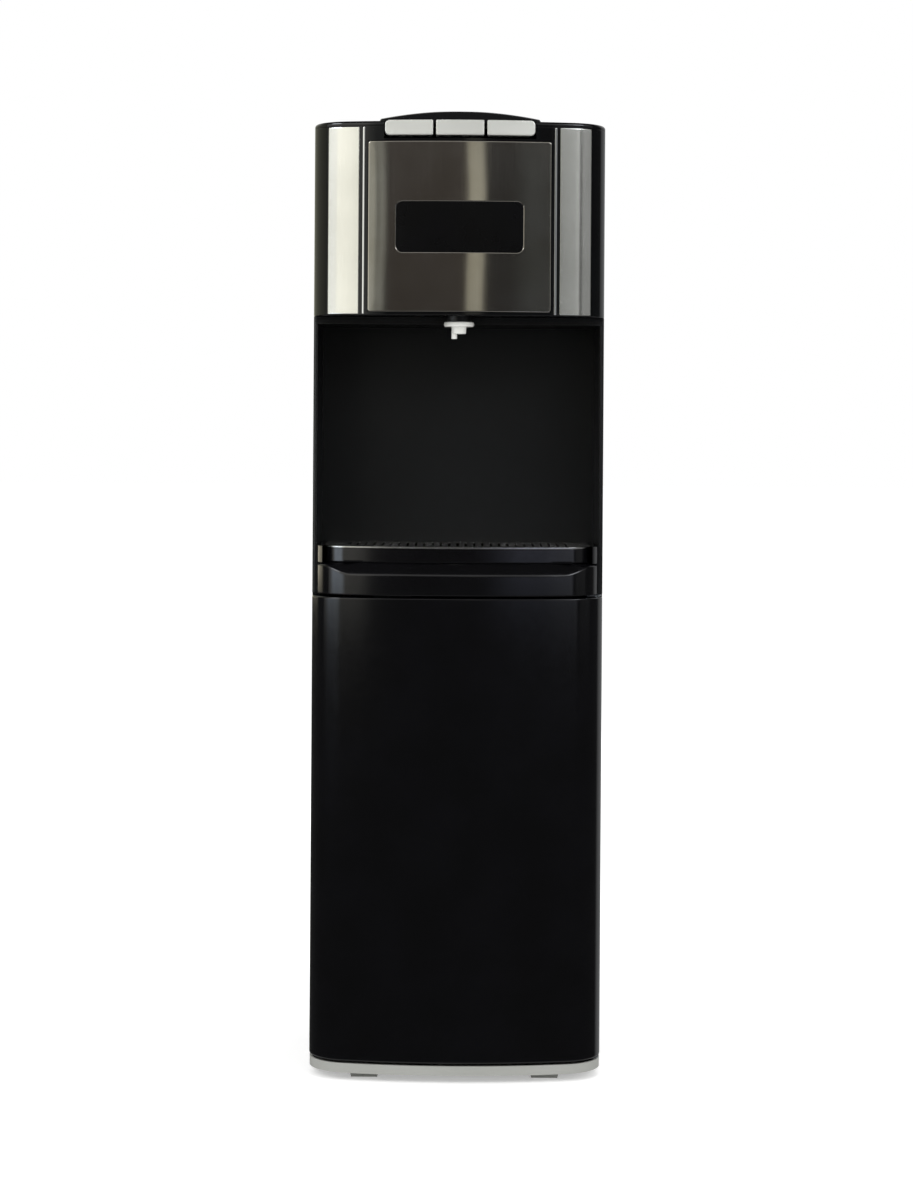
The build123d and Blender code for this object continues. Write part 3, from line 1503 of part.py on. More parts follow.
# ---------------------------------------------------------------- written pieces
pieces = {
    "base_plinth": base_plinth,
    "levelling_feet": levelling_feet,
    "side_panel_left": side_panel_left,
    "side_panel_right": side_panel_right,
    "rear_panel_lower": rear_panel_lower,
    "rear_panel_upper": rear_panel_upper,
    "rear_screws": rear_screws,
    "condenser_coil": condenser_coil,
    "condenser_brackets": condenser_brackets,
    "bay_liner": bay_liner,
    "hose_union": hose_union,
    "probe_hanger": probe_hanger,
    "probe": probe,
    "door_panel": door_panel,
    "door_liner": door_liner,
    "strike_plate": strike_plate,
    "magnet_catch": magnet_catch,
    "hinge_brackets": hinge_brackets,
    "tray_housing": tray_housing,
    "drip_tray": drip_tray,
    "drip_grille": drip_grille,
    "niche_liner": niche_liner,
    "nozzle_collar": nozzle_collar,
    "dispensing_nozzle": dispensing_nozzle,
    "head_housing": head_housing,
    "centre_panel": centre_panel,
    "window_lens": window_lens,
    "wing_left": wing_left,
    "wing_right": wing_right,
    "trim_strips": trim_strips,
    "control_board": control_board,
    "top_cover": top_cover,
    "hot_button": hot_button,
    "room_button": room_button,
    "cold_button": cold_button,
    "hot_spring": hot_spring,
    "room_spring": room_spring,
    "cold_spring": cold_spring,
    "button_carrier": button_carrier,
    "microswitches": microswitches,
    "compressor_shelf": compressor_shelf,
    "tank_shelf": tank_shelf,
    "compressor_grommets": compressor_grommets,
    "compressor": compressor,
    "filter_drier": filter_drier,
    "refrigerant_lines": refrigerant_lines,
    "cold_tank": cold_tank,
    "cold_tank_jacket": cold_tank_jacket,
    "evaporator_coil": evaporator_coil,
    "hot_tank": hot_tank,
    "valve_manifold": valve_manifold,
    "solenoid_valves": solenoid_valves,
    "water_pump": water_pump,
    "water_lines": water_lines,
    "switch_frames": switch_frames,
    "hot_rocker": hot_rocker,
    "cold_rocker": cold_rocker,
    "drain_spout": drain_spout,
    "drain_cap": drain_cap,
    "cord_gland": cord_gland,
}

for node, piece in pieces.items():
    piece.part.label = node
    export_step(piece.part, f"parts/{node}.step")
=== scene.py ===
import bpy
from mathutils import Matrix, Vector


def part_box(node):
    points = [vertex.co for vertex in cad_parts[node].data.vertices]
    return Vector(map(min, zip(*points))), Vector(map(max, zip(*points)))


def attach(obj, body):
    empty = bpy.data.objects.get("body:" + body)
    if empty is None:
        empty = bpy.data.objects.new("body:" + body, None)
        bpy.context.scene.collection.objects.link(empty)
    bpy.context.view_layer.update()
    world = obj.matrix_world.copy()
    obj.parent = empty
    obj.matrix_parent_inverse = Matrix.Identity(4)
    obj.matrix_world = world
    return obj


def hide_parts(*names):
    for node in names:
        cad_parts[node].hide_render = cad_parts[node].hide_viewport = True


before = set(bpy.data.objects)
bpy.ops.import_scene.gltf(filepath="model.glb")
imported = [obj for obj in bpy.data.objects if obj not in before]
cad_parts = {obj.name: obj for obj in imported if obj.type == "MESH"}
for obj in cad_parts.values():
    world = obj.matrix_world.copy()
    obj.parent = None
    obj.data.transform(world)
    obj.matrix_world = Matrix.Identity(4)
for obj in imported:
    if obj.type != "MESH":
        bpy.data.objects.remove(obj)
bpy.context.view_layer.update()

"""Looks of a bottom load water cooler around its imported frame.

Lengths are millimetres unless a name says otherwise, and meshes are written in metres. The
object stands on z = 0 and its front faces -Y. Outer pieces are surfaces worked out as arrays: a
profile carried along the cabinet's bowed outline, a grid with walls, or a turned profile.
"""

import logging
import math
from dataclasses import dataclass
from enum import Enum
from functools import partial

import bpy
import numpy as np
from mathutils import Matrix, Vector

logging.basicConfig(level=logging.INFO, format="%(name)s: %(message)s")
log = logging.getLogger("cooler")

MM = 0.001
# Distance of the points that keep a flat level where it meets a rounded edge.
HOLD = 0.4
# Inset of profile points whose place a rim line decides: any depth behind the wall will do.
BEHIND = 30.0
# Smallest distance that counts, and smallest radius that is drawn.
NEAR = 1e-3
LEAST_ROUND = 0.05
# Between which values nearly all of a cloud's and of a grain's noise lies.
CLOUD_SPREAD = (0.3, 0.7)
GRAIN_SPREAD = (0.25, 0.75)
# Flats of an outline's front and rear corners, and how much longer steps are on its sides.
CORNER_FLATS = 18
REAR_FLATS = 4
LONG_STEPS = 4
Array = np.ndarray


def span(node: str) -> tuple[Array, Array]:
    """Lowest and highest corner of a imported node, in millimetres."""
    low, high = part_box(node)
    return np.array(low) / MM, np.array(high) / MM


# ---------------------------------------------------------------- shapes
@dataclass(frozen=True)
class Shape:
    """Points and faces of one or more closed skins, in millimetres."""

    points: Array
    quads: Array
    caps: tuple[tuple[int, ...], ...] = ()

    def __add__(self, other: "Shape") -> "Shape":
        """Both shapes in one.

        Args:
            other: The shape to add.

        Returns:
            The joined shape.
        """
        shift = len(self.points)
        caps = tuple(tuple(index + shift for index in cap) for cap in other.caps)
        return Shape(
            np.vstack([self.points, other.points]),
            np.vstack([self.quads, other.quads + shift]),
            self.caps + caps,
        )

    def volume(self) -> float:
        """Signed volume: the sum of the tetrahedra between the origin and each face's triangles.

        Returns:
            The volume, below zero where the faces point inwards.
        """
        p = self.points
        a, b, c, d = (p[self.quads[:, k]] for k in range(4))
        total = np.einsum("ij,ij->", a, np.cross(b, c)) + np.einsum("ij,ij->", a, np.cross(c, d))
        for cap in self.caps:
            ring = p[list(cap)]
            fan = np.cross(ring[1:-1], ring[2:])
            total += np.einsum("ij,ij->", np.broadcast_to(ring[0], fan.shape), fan)
        return float(total) / 6

    def outward(self) -> "Shape":
        """The same shape with its faces turned to point outwards.

        Returns:
            This shape, or a turned one.
        """
        if self.volume() >= 0:
            return self
        return Shape(self.points, self.quads[:, ::-1], tuple(cap[::-1] for cap in self.caps))

    def moved(self, x: float = 0.0, y: float = 0.0, z: float = 0.0) -> "Shape":
        """The same shape at another place."""
        return Shape(self.points + np.array([x, y, z]), self.quads, self.caps)

    def used(self) -> "Shape":
        """The same shape without the points that no face uses.

        Returns:
            The smaller shape.
        """
        keep = np.zeros(len(self.points), bool)
        keep[self.quads.ravel()] = True
        for cap in self.caps:
            keep[list(cap)] = True
        order = np.cumsum(keep) - 1
        caps = tuple(tuple(int(order[index]) for index in cap) for cap in self.caps)
        return Shape(self.points[keep], order[self.quads], caps)


@dataclass(frozen=True)
class Outline:
    """Plan outline: bowed front, round front corners, straight sides and a straight back.

    A distance along it is measured from the middle of the front, towards +X.
    """

    half: float
    nose: float
    corner: float
    bow: float
    back: float
    rear_corner: float = 1.0

    @property
    def tangent(self) -> float:
        """Angle at which the bow runs into the corner: its sine is (half - corner) / (bow - corner)."""
        return math.asin((self.half - self.corner) / (self.bow - self.corner))

    @property
    def runs(self) -> Array:
        """Lengths of half the bow, the corner, the side, the rear corner and half the back.

        Returns:
            The five lengths.
        """
        centre_y = self.nose + self.bow - (self.bow - self.corner) * math.cos(self.tangent)
        return np.array([
            self.bow * self.tangent,
            self.corner * (math.pi / 2 - self.tangent),
            self.back - self.rear_corner - centre_y,
            self.rear_corner * math.pi / 2,
            self.half - self.rear_corner,
        ])

    def place(self, along: Array, inset: Array | float = 0.0) -> tuple[Array, Array]:
        """Points of the outline, inset along its normal.

        Each point is the sum of what the bow, the corner, the side, the rear corner and the back
        add up to its distance, less the inset times the outward normal there.

        Args:
            along: Distances from the middle of the front.
            inset: How far inside the outline.

        Returns:
            The X and Y of the points.
        """
        runs = self.runs
        total = runs.sum()
        wrapped = (np.asarray(along, float) + total) % (2 * total) - total
        starts = np.concatenate([[0], np.cumsum(runs)[:-1]])
        part = [np.clip(abs(wrapped) - start, 0, run) for start, run in zip(starts, runs)]
        bend, lean = part[0] / self.bow, part[1] / self.corner
        rear = part[3] / self.rear_corner
        first = self.tangent
        x = self.bow * np.sin(bend) + self.corner * (np.sin(first + lean) - math.sin(first))
        x += self.rear_corner * (np.cos(rear) - 1) - part[4]
        y = self.nose + self.bow * (1 - np.cos(bend)) + self.corner * (math.cos(first) - np.cos(first + lean))
        y += part[2] + self.rear_corner * np.sin(rear)
        turn = bend + lean + rear
        side = np.where(wrapped < 0, -1.0, 1.0)
        return side * (x - inset * np.sin(turn)), y + inset * np.cos(turn)

    def reach(self, x: Array | float) -> Array:
        """Distance along the outline at which the front stands at a given X.

        Args:
            x: One X or several, on either side.

        Returns:
            The distances, below zero at -X.
        """
        size = np.abs(np.asarray(x, float))
        low = math.sin(self.tangent)
        on_bow = self.bow * np.arcsin(np.minimum(size / self.bow, low))
        on_corner = np.arcsin(np.clip((size - self.half + self.corner) / self.corner, low, 1)) - self.tangent
        return np.sign(x) * (on_bow + self.corner * on_corner)

    def side_reach(self, y: float) -> float:
        """Distance along the outline at which its side stands at a given Y."""
        corner_end = self.runs[:2].sum()
        return corner_end + y - self.place(corner_end)[1]

    def stations(self, start: float, stop: float, marks: tuple[float, ...] = (), step: float = 9.0) -> Array:
        """Distances from start to stop, spaced by a step on the bow and the sides and closer on corners.

        Args:
            start: First distance.
            stop: Last distance.
            marks: Distances to include.
            step: Longest step on the bow.

        Returns:
            The distances in order.
        """
        runs = self.runs
        total = runs.sum()
        cuts = np.concatenate([[0], np.cumsum(runs)])
        parts = []
        long_step = LONG_STEPS * step
        paces = (step, self.corner / CORNER_FLATS, long_step, self.rear_corner / REAR_FLATS, long_step)
        for low, high, pace in zip(cuts[:-1], cuts[1:], paces):
            parts.append(np.linspace(low, high, max(2, math.ceil((high - low) / pace) + 1)))
        half = np.concatenate(parts)
        every = np.concatenate([-half, half, 2 * total - half, [start, stop], marks])
        every = np.unique(np.round(every[(every >= start - 1e-9) & (every <= stop + 1e-9)], 4))
        return every[np.concatenate([[True], np.diff(every) > NEAR])]


def quarter(radius: float, flats: int) -> Array:
    """Quarter circle between two edges at right angles: rows of r (1 - sin a) and r (1 - cos a)."""
    turn = np.linspace(0, math.pi / 2, flats + 1)
    return radius * np.stack([1 - np.sin(turn), 1 - np.cos(turn)], -1)


def pulled(count: int, *points: int) -> Array:
    """Pull of a profile: 1 at the numbered points, which lie on the rim line, and 0 at the rest.

    Args:
        count: Number of profile points.
        *points: Their numbers, from the end if below zero.

    Returns:
        One pull for each point.
    """
    pull = np.zeros(count)
    pull[list(points)] = 1
    return pull


def upright_grid(x: Array, y: Array, middle: float, half: Array, rows: int) -> Array:
    """Columns that stand at X and Y, each with even rows from half a height below the middle to above.

    Args:
        x: X of each column.
        y: Y of each column.
        middle: Height of the middle.
        half: Half the height of each column.
        rows: Number of rows.

    Returns:
        Columns by rows by three coordinates.
    """
    grid = np.empty((len(x), rows, 3))
    grid[..., 0], grid[..., 1] = x[:, None], y[:, None]
    grid[..., 2] = middle + half[:, None] * np.linspace(-1, 1, rows)
    return grid


def softened(corners: list[tuple[float, float, float]], steps: int = 4, hold: float = HOLD) -> Array:
    """A closed profile with rounded corners.

    Each corner with a radius becomes an arc that touches both of its edges: the arc's centre lies
    on the corner's bisector, at the radius over the sine of half the corner's angle. A point a
    little beyond each end of the arc holds the flat beside it level when it is shaded.

    Args:
        corners: Rows of two coordinates and a radius.
        steps: Flats in each arc.
        hold: Distance of the holding points.

    Returns:
        Rows of two coordinates.
    """
    rows = np.array(corners, float)
    ahead = np.roll(rows[:, :2], -1, axis=0) - rows[:, :2]
    length = np.linalg.norm(ahead, axis=1)
    ahead = ahead / length[:, None]
    behind = -np.roll(ahead, 1, axis=0)
    angle = np.arccos(np.clip(np.einsum("ij,ij->i", ahead, behind), -1, 1))
    trim = rows[:, 2] / np.tan(angle / 2)
    spare = length - trim - np.roll(trim, -1)
    after = np.minimum(hold, spare / 3)
    before = np.roll(after, 1)
    made = []
    for index, (x, y, radius) in enumerate(rows):
        here = np.array([x, y])
        if radius == 0:
            made.append(here[None])
            continue
        half = angle[index] / 2
        middle = here + (behind[index] + ahead[index]) / (2 * math.cos(half)) * radius / math.sin(half)
        start = here + behind[index] * trim[index] - middle
        end = here + ahead[index] * trim[index] - middle
        sweep = math.atan2(start[0] * end[1] - start[1] * end[0], start @ end)
        turn = np.linspace(0, sweep, steps + 1)[:, None]
        across = np.array([-start[1], start[0]])
        if before[index] > NEAR:
            made.append((here + behind[index] * (trim[index] + before[index]))[None])
        made.append(middle + np.cos(turn) * start + np.sin(turn) * across)
        if after[index] > NEAR:
            made.append((here + ahead[index] * (trim[index] + after[index]))[None])
    return np.vstack(made)


def net(grid: Array, wrap_rows: bool, wrap_columns: bool) -> Array:
    """Quads between the rows and columns of a grid of point numbers.

    Args:
        grid: Point numbers.
        wrap_rows: Whether the last row joins the first.
        wrap_columns: Whether the last column joins the first.

    Returns:
        Rows of four point numbers.
    """
    if wrap_rows:
        grid = np.vstack([grid, grid[:1]])
    if wrap_columns:
        grid = np.hstack([grid, grid[:, :1]])
    return np.stack([grid[:-1, :-1], grid[1:, :-1], grid[1:, 1:], grid[:-1, 1:]], -1).reshape(-1, 4)


def carried(rings: Array, closed: bool) -> Shape:
    """Skin through rings of points, each a closed profile; open ends are capped.

    Args:
        rings: Stations by profile points by three coordinates.
        closed: Whether the last ring joins the first.

    Returns:
        The closed skin.
    """
    count, size = rings.shape[:2]
    index = np.arange(count * size).reshape(count, size)
    caps = () if closed else (tuple(int(i) for i in index[0]), tuple(int(i) for i in index[-1][::-1]))
    shape = Shape(rings.reshape(-1, 3), net(index, closed, True), caps)
    return shape.outward()


def along_outline(
    outline: Outline,
    stations: Array,
    profile: Array,
    rim: Array | None = None,
    pull: Array | None = None,
    closed: bool = False,
) -> Shape:
    """A closed profile of insets and heights, carried along a plan outline.

    A profile point with pull 1 lies on the rim line instead of the inset outline, and one between
    lies in proportion between the two.

    Args:
        outline: The plan outline.
        stations: Distances along it.
        profile: Rows of inset and height, or one such table for each station.
        rim: X and Y of the rim line at each station.
        pull: Share of the rim in each profile point.
        closed: Whether the outline closes.

    Returns:
        The closed skin.
    """
    table = np.broadcast_to(profile, (len(stations),) + profile.shape[-2:])
    x, y = outline.place(stations[:, None], table[..., 0])
    if rim is not None:
        share = np.asarray(pull)[None, :]
        x = x * (1 - share) + rim[:, :1] * share
        y = y * (1 - share) + rim[:, 1:] * share
    return carried(np.stack([x, y, table[..., 1]], -1), closed)


def slab(outer: Array, inner: Array, keep: Array | None = None) -> Shape:
    """Two grids joined by walls along the edges of the cells that are kept.

    Args:
        outer: Rows by columns by three coordinates.
        inner: The same for the other side.
        keep: Which cells are there; all, if left out.

    Returns:
        The closed skin.
    """
    rows, columns = outer.shape[:2]
    keep = np.ones((rows - 1, columns - 1), bool) if keep is None else keep
    top = np.arange(rows * columns).reshape(rows, columns)
    low = top + rows * columns
    cells = keep.reshape(-1)
    faces = [net(top, False, False)[cells], net(low, False, False)[cells][:, ::-1]]
    ringed = np.pad(keep, 1)
    for axis in (0, 1):
        if axis == 0:
            before, after = ringed[:-1, 1:-1], ringed[1:, 1:-1]
            a, b, c, d = top[:, :-1], top[:, 1:], low[:, 1:], low[:, :-1]
        else:
            before, after = ringed[1:-1, 1:], ringed[1:-1, :-1]
            a, b, c, d = top[:-1], top[1:], low[1:], low[:-1]
        wall = np.stack([a, b, c, d], -1)
        faces.append(wall[after & ~before])
        faces.append(wall[before & ~after][:, ::-1])
    points = np.concatenate([outer.reshape(-1, 3), inner.reshape(-1, 3)])
    return Shape(points, np.vstack(faces)).used().outward()


def pad(front: Array, edges: list[Array], back: Array) -> Shape:
    """A front grid, rings round its edge and a back grid, all of one size, as one closed skin.

    Only the border of each grid in edges is used.

    Args:
        front: Rows by columns by three coordinates.
        edges: Grids whose borders the skin passes through, from front to back.
        back: The grid that closes the back.

    Returns:
        The closed skin.
    """
    rows, columns = front.shape[:2]
    index = np.arange(rows * columns).reshape(rows, columns)
    border = np.concatenate([index[:-1, 0], index[-1, :-1], index[:0:-1, -1], index[0, :0:-1]])
    points = [front.reshape(-1, 3)]
    loops = [border]
    count = rows * columns
    for grid in edges:
        points.append(grid.reshape(-1, 3)[border])
        loops.append(np.arange(count, count + len(border)))
        count += len(border)
    points.append(back.reshape(-1, 3))
    loops.append(border + count)
    sides = net(np.array(loops), False, True)[:, ::-1]
    faces = np.vstack([net(index, False, False), sides, (net(index, False, False) + count)[:, ::-1]])
    return Shape(np.concatenate(points), faces).outward()


def turned(profile: Array, centre: tuple[float, float], sides: int = 48, closed: bool = True) -> Shape:
    """A profile of radii and heights turned about an upright axis.

    Args:
        profile: Rows of radius and height.
        centre: X and Y of the axis.
        sides: Flats round the axis.
        closed: Whether the profile is a loop; otherwise discs close its two ends.

    Returns:
        The closed skin.
    """
    turn = np.linspace(0, 2 * math.pi, sides, endpoint=False)[:, None]
    x = centre[0] + profile[None, :, 0] * np.cos(turn)
    y = centre[1] + profile[None, :, 0] * np.sin(turn)
    points = np.stack([x, y, np.broadcast_to(profile[None, :, 1], x.shape)], -1)
    if closed:
        return carried(points, True)
    index = np.arange(points.shape[0] * points.shape[1]).reshape(points.shape[:2])
    caps = (tuple(int(i) for i in index[::-1, 0]), tuple(int(i) for i in index[:, -1]))
    return Shape(points.reshape(-1, 3), net(index, True, False), caps).outward()


def flat_tube(path: Array, plane_y: float, radius: float, sides: int = 14) -> Shape:
    """A circle carried along a path that lies in an XZ plane.

    At each path point the circle is spanned by Y and by the in-plane normal, which is the
    tangent turned by a quarter.

    Args:
        path: Rows of X and Z.
        plane_y: Y of the plane.
        radius: Radius of the tube.
        sides: Flats round the tube.

    Returns:
        The closed skin.
    """
    tangent = np.gradient(path, axis=0)
    tangent /= np.linalg.norm(tangent, axis=1, keepdims=True)
    normal = np.stack([-tangent[:, 1], tangent[:, 0]], -1)
    turn = np.linspace(0, 2 * math.pi, sides, endpoint=False)
    across = radius * np.cos(turn)[None, :]
    x = path[:, :1] + normal[:, :1] * across
    z = path[:, 1:] + normal[:, 1:] * across
    y = np.broadcast_to(plane_y + radius * np.sin(turn)[None, :], x.shape)
    return carried(np.stack([x, y, z], -1), False)


def joined(shapes: list[Shape]) -> Shape:
    """All shapes in one."""
    return sum(shapes[1:], shapes[0])


# ---------------------------------------------------------------- finishes
def linear(colour: str) -> tuple[float, float, float, float]:
    """Linear colour of an sRGB hex value such as "#c8cac7".

    Args:
        colour: The hex value.

    Returns:
        Red, green, blue and alpha.
    """
    levels = [int(colour[k : k + 2], 16) / 255 for k in (1, 3, 5)]
    mapped = [v / 12.92 if v <= 0.04045 else ((v + 0.055) / 1.055) ** 2.4 for v in levels]
    return (*mapped, 1.0)


def emptied(holder: bpy.types.Material | bpy.types.World) -> bpy.types.NodeTree:
    """Node tree of a material or a world, switched on and emptied.

    Args:
        holder: The material or world.

    Returns:
        The tree.
    """
    holder.use_nodes = True
    holder.node_tree.nodes.clear()
    return holder.node_tree


def placed(name: str, data: bpy.types.ID) -> bpy.types.Object:
    """New object at the origin, in the scene.

    Args:
        name: The object's name.
        data: Its mesh, lamp or camera.

    Returns:
        The object.
    """
    made = bpy.data.objects.new(name, data)
    bpy.context.scene.collection.objects.link(made)
    return made


def add_node(
    tree: bpy.types.NodeTree, kind: str, inputs: dict | None = None, **settings: object
) -> bpy.types.Node:
    """Adds a node with its settings and links.

    Args:
        tree: The node tree.
        kind: The node's type.
        inputs: For each input, by name or number, a value or the socket it is linked from.
        **settings: The node's own properties.

    Returns:
        The node.
    """
    made = tree.nodes.new(kind)
    for name, value in settings.items():
        setattr(made, name, value)
    for key, value in (inputs or {}).items():
        if isinstance(value, bpy.types.NodeSocket):
            tree.links.new(value, made.inputs[key])
        else:
            made.inputs[key].default_value = value
    return made


class Pattern(Enum):
    """How a surface was made, which decides the pattern that its material draws."""

    EVEN = "isotropic noise"
    CELLS = "rounded cells"
    BANDS = "noise with layered bands"


@dataclass(frozen=True)
class Finish:
    """One material, drawn from what the real surface is made of.

    The grain is a noise whose cells measure grain_mm along X, Y and Z. It moves the roughness
    between its two values and raises the surface by bump_mm. A much larger noise of cloud_mm
    mixes the colour with its second tone, as pigment, wear and handling do.
    """

    name: str
    colour: str
    tone: str
    roughness: tuple[float, float]
    metallic: float = 0.0
    ior: float = 1.5
    grain_mm: tuple[float, float, float] = (0.6, 0.6, 0.6)
    bump_mm: float = 0.01
    cloud_mm: float = 60.0
    pattern: Pattern = Pattern.EVEN
    coat: float = 0.0
    coat_roughness: float = 0.05
    anisotropic: float = 0.0
    grain_turn: float = 0.0
    specular: float = 0.5
    transmission: float = 0.0

    def grain(self, tree: bpy.types.NodeTree, place: bpy.types.NodeSocket) -> bpy.types.NodeSocket:
        """The grain's height from 0 to 1.

        Args:
            tree: The material's tree.
            place: Socket of the place on the piece.

        Returns:
            Socket of the height.
        """
        scale = tuple(1 / (size * MM) for size in self.grain_mm)
        stretched = add_node(tree, "ShaderNodeMapping", {"Vector": place, "Scale": scale})
        if self.pattern is Pattern.CELLS:
            cells = add_node(tree, "ShaderNodeTexVoronoi", {"Vector": stretched.outputs[0], "Scale": 1.0},
                             feature="SMOOTH_F1")
            return cells.outputs["Distance"]
        detail = 5.0 if self.pattern is Pattern.BANDS else 2.0
        noise = add_node(tree, "ShaderNodeTexNoise",
                         {"Vector": stretched.outputs[0], "Scale": 1.0, "Detail": detail, "Roughness": 0.6})
        return noise.outputs[0]

    def build(self) -> bpy.types.Material:
        """The material, made once.

        Returns:
            The material.
        """
        known = bpy.data.materials.get(self.name)
        if known:
            return known
        material = bpy.data.materials.new(self.name)
        tree = emptied(material)
        place = add_node(tree, "ShaderNodeTexCoord").outputs["Object"]
        height = self.grain(tree, place)
        cloud = add_node(tree, "ShaderNodeTexNoise",
                         {"Vector": place, "Scale": 1 / (self.cloud_mm * MM), "Detail": 3.0})
        share = add_node(tree, "ShaderNodeMapRange",
                         {"Value": cloud.outputs[0],
                          "From Min": CLOUD_SPREAD[0], "From Max": CLOUD_SPREAD[1]},
                         interpolation_type="SMOOTHSTEP")
        colour = add_node(tree, "ShaderNodeMix", data_type="RGBA")
        colour.inputs[6].default_value = linear(self.colour)
        colour.inputs[7].default_value = linear(self.tone)
        tree.links.new(share.outputs[0], colour.inputs[0])
        gloss = add_node(tree, "ShaderNodeMapRange",
                         {"Value": height, "From Min": GRAIN_SPREAD[0], "From Max": GRAIN_SPREAD[1],
                          "To Min": self.roughness[0], "To Max": self.roughness[1]})
        bump = add_node(tree, "ShaderNodeBump",
                        {"Height": height, "Distance": self.bump_mm * MM, "Strength": 1.0})
        shader = add_node(tree, "ShaderNodeBsdfPrincipled", {
            "Base Color": colour.outputs[2],
            "Roughness": gloss.outputs[0],
            "Normal": bump.outputs[0],
            "Metallic": self.metallic,
            "Coat Weight": self.coat,
            "Coat Roughness": self.coat_roughness,
            "Anisotropic": self.anisotropic,
            "Anisotropic Rotation": self.grain_turn,
            "Specular IOR Level": self.specular,
            "Transmission Weight": self.transmission,
        })
        if self.metallic < 1:
            shader.inputs["IOR"].default_value = self.ior
        if self.anisotropic:
            axis = add_node(tree, "ShaderNodeTangent", direction_type="RADIAL", axis="Z")
            tree.links.new(axis.outputs[0], shader.inputs["Tangent"])
        add_node(tree, "ShaderNodeOutputMaterial", {"Surface": shader.outputs[0]})
        material.diffuse_color = linear(self.colour)
        return material


# High gloss ABS from a polished mould: deep black, with the faint waviness of moulded plastic.
GLOSS_ABS = Finish("gloss_moulded_abs", "#060607", "#08090a", (0.06, 0.09), ior=1.46,
                   grain_mm=(14, 14, 14), bump_mm=0.006)
# Door skin of the same ABS from a less polished mould: black with soft reflections.
DOOR_ABS = Finish("semi_gloss_moulded_abs", "#060607", "#08080a", (0.13, 0.17), ior=1.46,
                  grain_mm=(9, 9, 9), bump_mm=0.005)
# ABS from an eroded mould: a fine even grain breaks up the light. Drawn at 0.8 mm, so that it shows.
SATIN_ABS = Finish("satin_moulded_abs", "#08090a", "#0b0c0d", (0.32, 0.42), ior=1.46,
                   grain_mm=(0.8, 0.8, 0.8), bump_mm=0.012)
# Polypropylene from an eroded mould: pale grey, waxy and matt.
GREY_PP = Finish("moulded_polypropylene", "#a9aaa5", "#a2a39e", (0.42, 0.55), ior=1.49,
                 grain_mm=(0.9, 0.9, 0.9), bump_mm=0.02, cloud_mm=120)
# Liner of vacuum formed polystyrene: satin black with the sheet's soft ripple.
FORMED_HIPS = Finish("vacuum_formed_polystyrene", "#0d0e0f", "#101112", (0.3, 0.4), ior=1.59,
                     grain_mm=(1.2, 1.2, 1.2), bump_mm=0.015)
# Ferritic stainless sheet, brushed and tinted: dark metal whose lights are drawn out upright.
BRUSHED_PANEL = Finish("brushed_dark_stainless", "#b4b0a8", "#aaa59b", (0.07, 0.13), metallic=1.0,
                       grain_mm=(0.6, 0.6, 70), bump_mm=0.001, cloud_mm=45, anisotropic=0.8,
                       grain_turn=0.25, pattern=Pattern.BANDS)
# Stainless sheet as rolled and brushed, on the grille and the tanks.
BRUSHED_STEEL = Finish("brushed_stainless", "#d2d2cf", "#cacac6", (0.2, 0.28), metallic=1.0,
                       grain_mm=(40, 0.8, 0.8), bump_mm=0.0006, anisotropic=0.4, pattern=Pattern.BANDS)
# Silver lacquer on ABS: fine metal flakes under a clear coat. Flakes drawn at 0.5 mm, so that they show.
SILVER_LACQUER = Finish("silver_metallic_lacquer", "#e2e2dc", "#dadad4", (0.14, 0.2), metallic=0.95,
                        grain_mm=(0.5, 0.5, 0.5), bump_mm=0.0015, pattern=Pattern.CELLS, coat=0.3,
                        coat_roughness=0.06)
# The same lacquer sprayed drier on the buttons: more matt, so that fingers leave no mark.
SATIN_LACQUER = Finish("silver_satin_lacquer", "#cfd0ca", "#c8c9c3", (0.36, 0.46), metallic=0.45,
                       grain_mm=(0.5, 0.5, 0.5), bump_mm=0.004, pattern=Pattern.CELLS, coat=0.15,
                       coat_roughness=0.15)
# Chrome plate on ABS: a mirror with the moulding's slight waviness under it.
CHROME = Finish("chrome_plate", "#e6e7e8", "#dfe0e2", (0.05, 0.09), metallic=1.0,
                grain_mm=(10, 10, 10), bump_mm=0.003)
# Cast acrylic window, black behind, with an anti-glare skin that spreads what it reflects.
ACRYLIC = Finish("tinted_acrylic", "#050505", "#060607", (0.26, 0.3), ior=1.49,
                 grain_mm=(25, 25, 25), bump_mm=0.002, specular=0.15)
# Powder coat on steel: black, with the orange peel that the melted powder leaves.
POWDER = Finish("black_powder_coat", "#0c0c0d", "#101011", (0.34, 0.46), ior=1.5,
                grain_mm=(1.6, 1.6, 1.6), bump_mm=0.03, pattern=Pattern.CELLS)
# Zinc plate on steel: pale grey metal with a faint spangle.
ZINC = Finish("zinc_plated_steel", "#aeb2b4", "#9ca1a5", (0.28, 0.42), metallic=1.0,
              grain_mm=(7, 7, 7), bump_mm=0.004, cloud_mm=18, pattern=Pattern.CELLS)
# Dipped black enamel on the wire condenser and the compressor: glossy runs over uneven steel.
ENAMEL = Finish("dipped_black_enamel", "#161617", "#1c1c1d", (0.2, 0.3), ior=1.52,
                grain_mm=(3, 3, 3), bump_mm=0.03)
# Acetal, moulded white for what the water touches: dense and half glossy.
ACETAL = Finish("moulded_white_acetal", "#e4e4df", "#dededa", (0.22, 0.3), ior=1.48,
                grain_mm=(1.5, 1.5, 1.5), bump_mm=0.006)
# Nylon, moulded natural: milky, matt fittings.
NYLON = Finish("moulded_natural_nylon", "#d6d2c4", "#cdc8b8", (0.35, 0.48), ior=1.53,
               grain_mm=(1.0, 1.0, 1.0), bump_mm=0.015)
# Black nylon with glass fibre: dull, with a dry speckle.
BLACK_NYLON = Finish("glass_filled_nylon", "#121314", "#1a1b1c", (0.45, 0.6), ior=1.53,
                     grain_mm=(0.9, 0.9, 0.9), bump_mm=0.02)
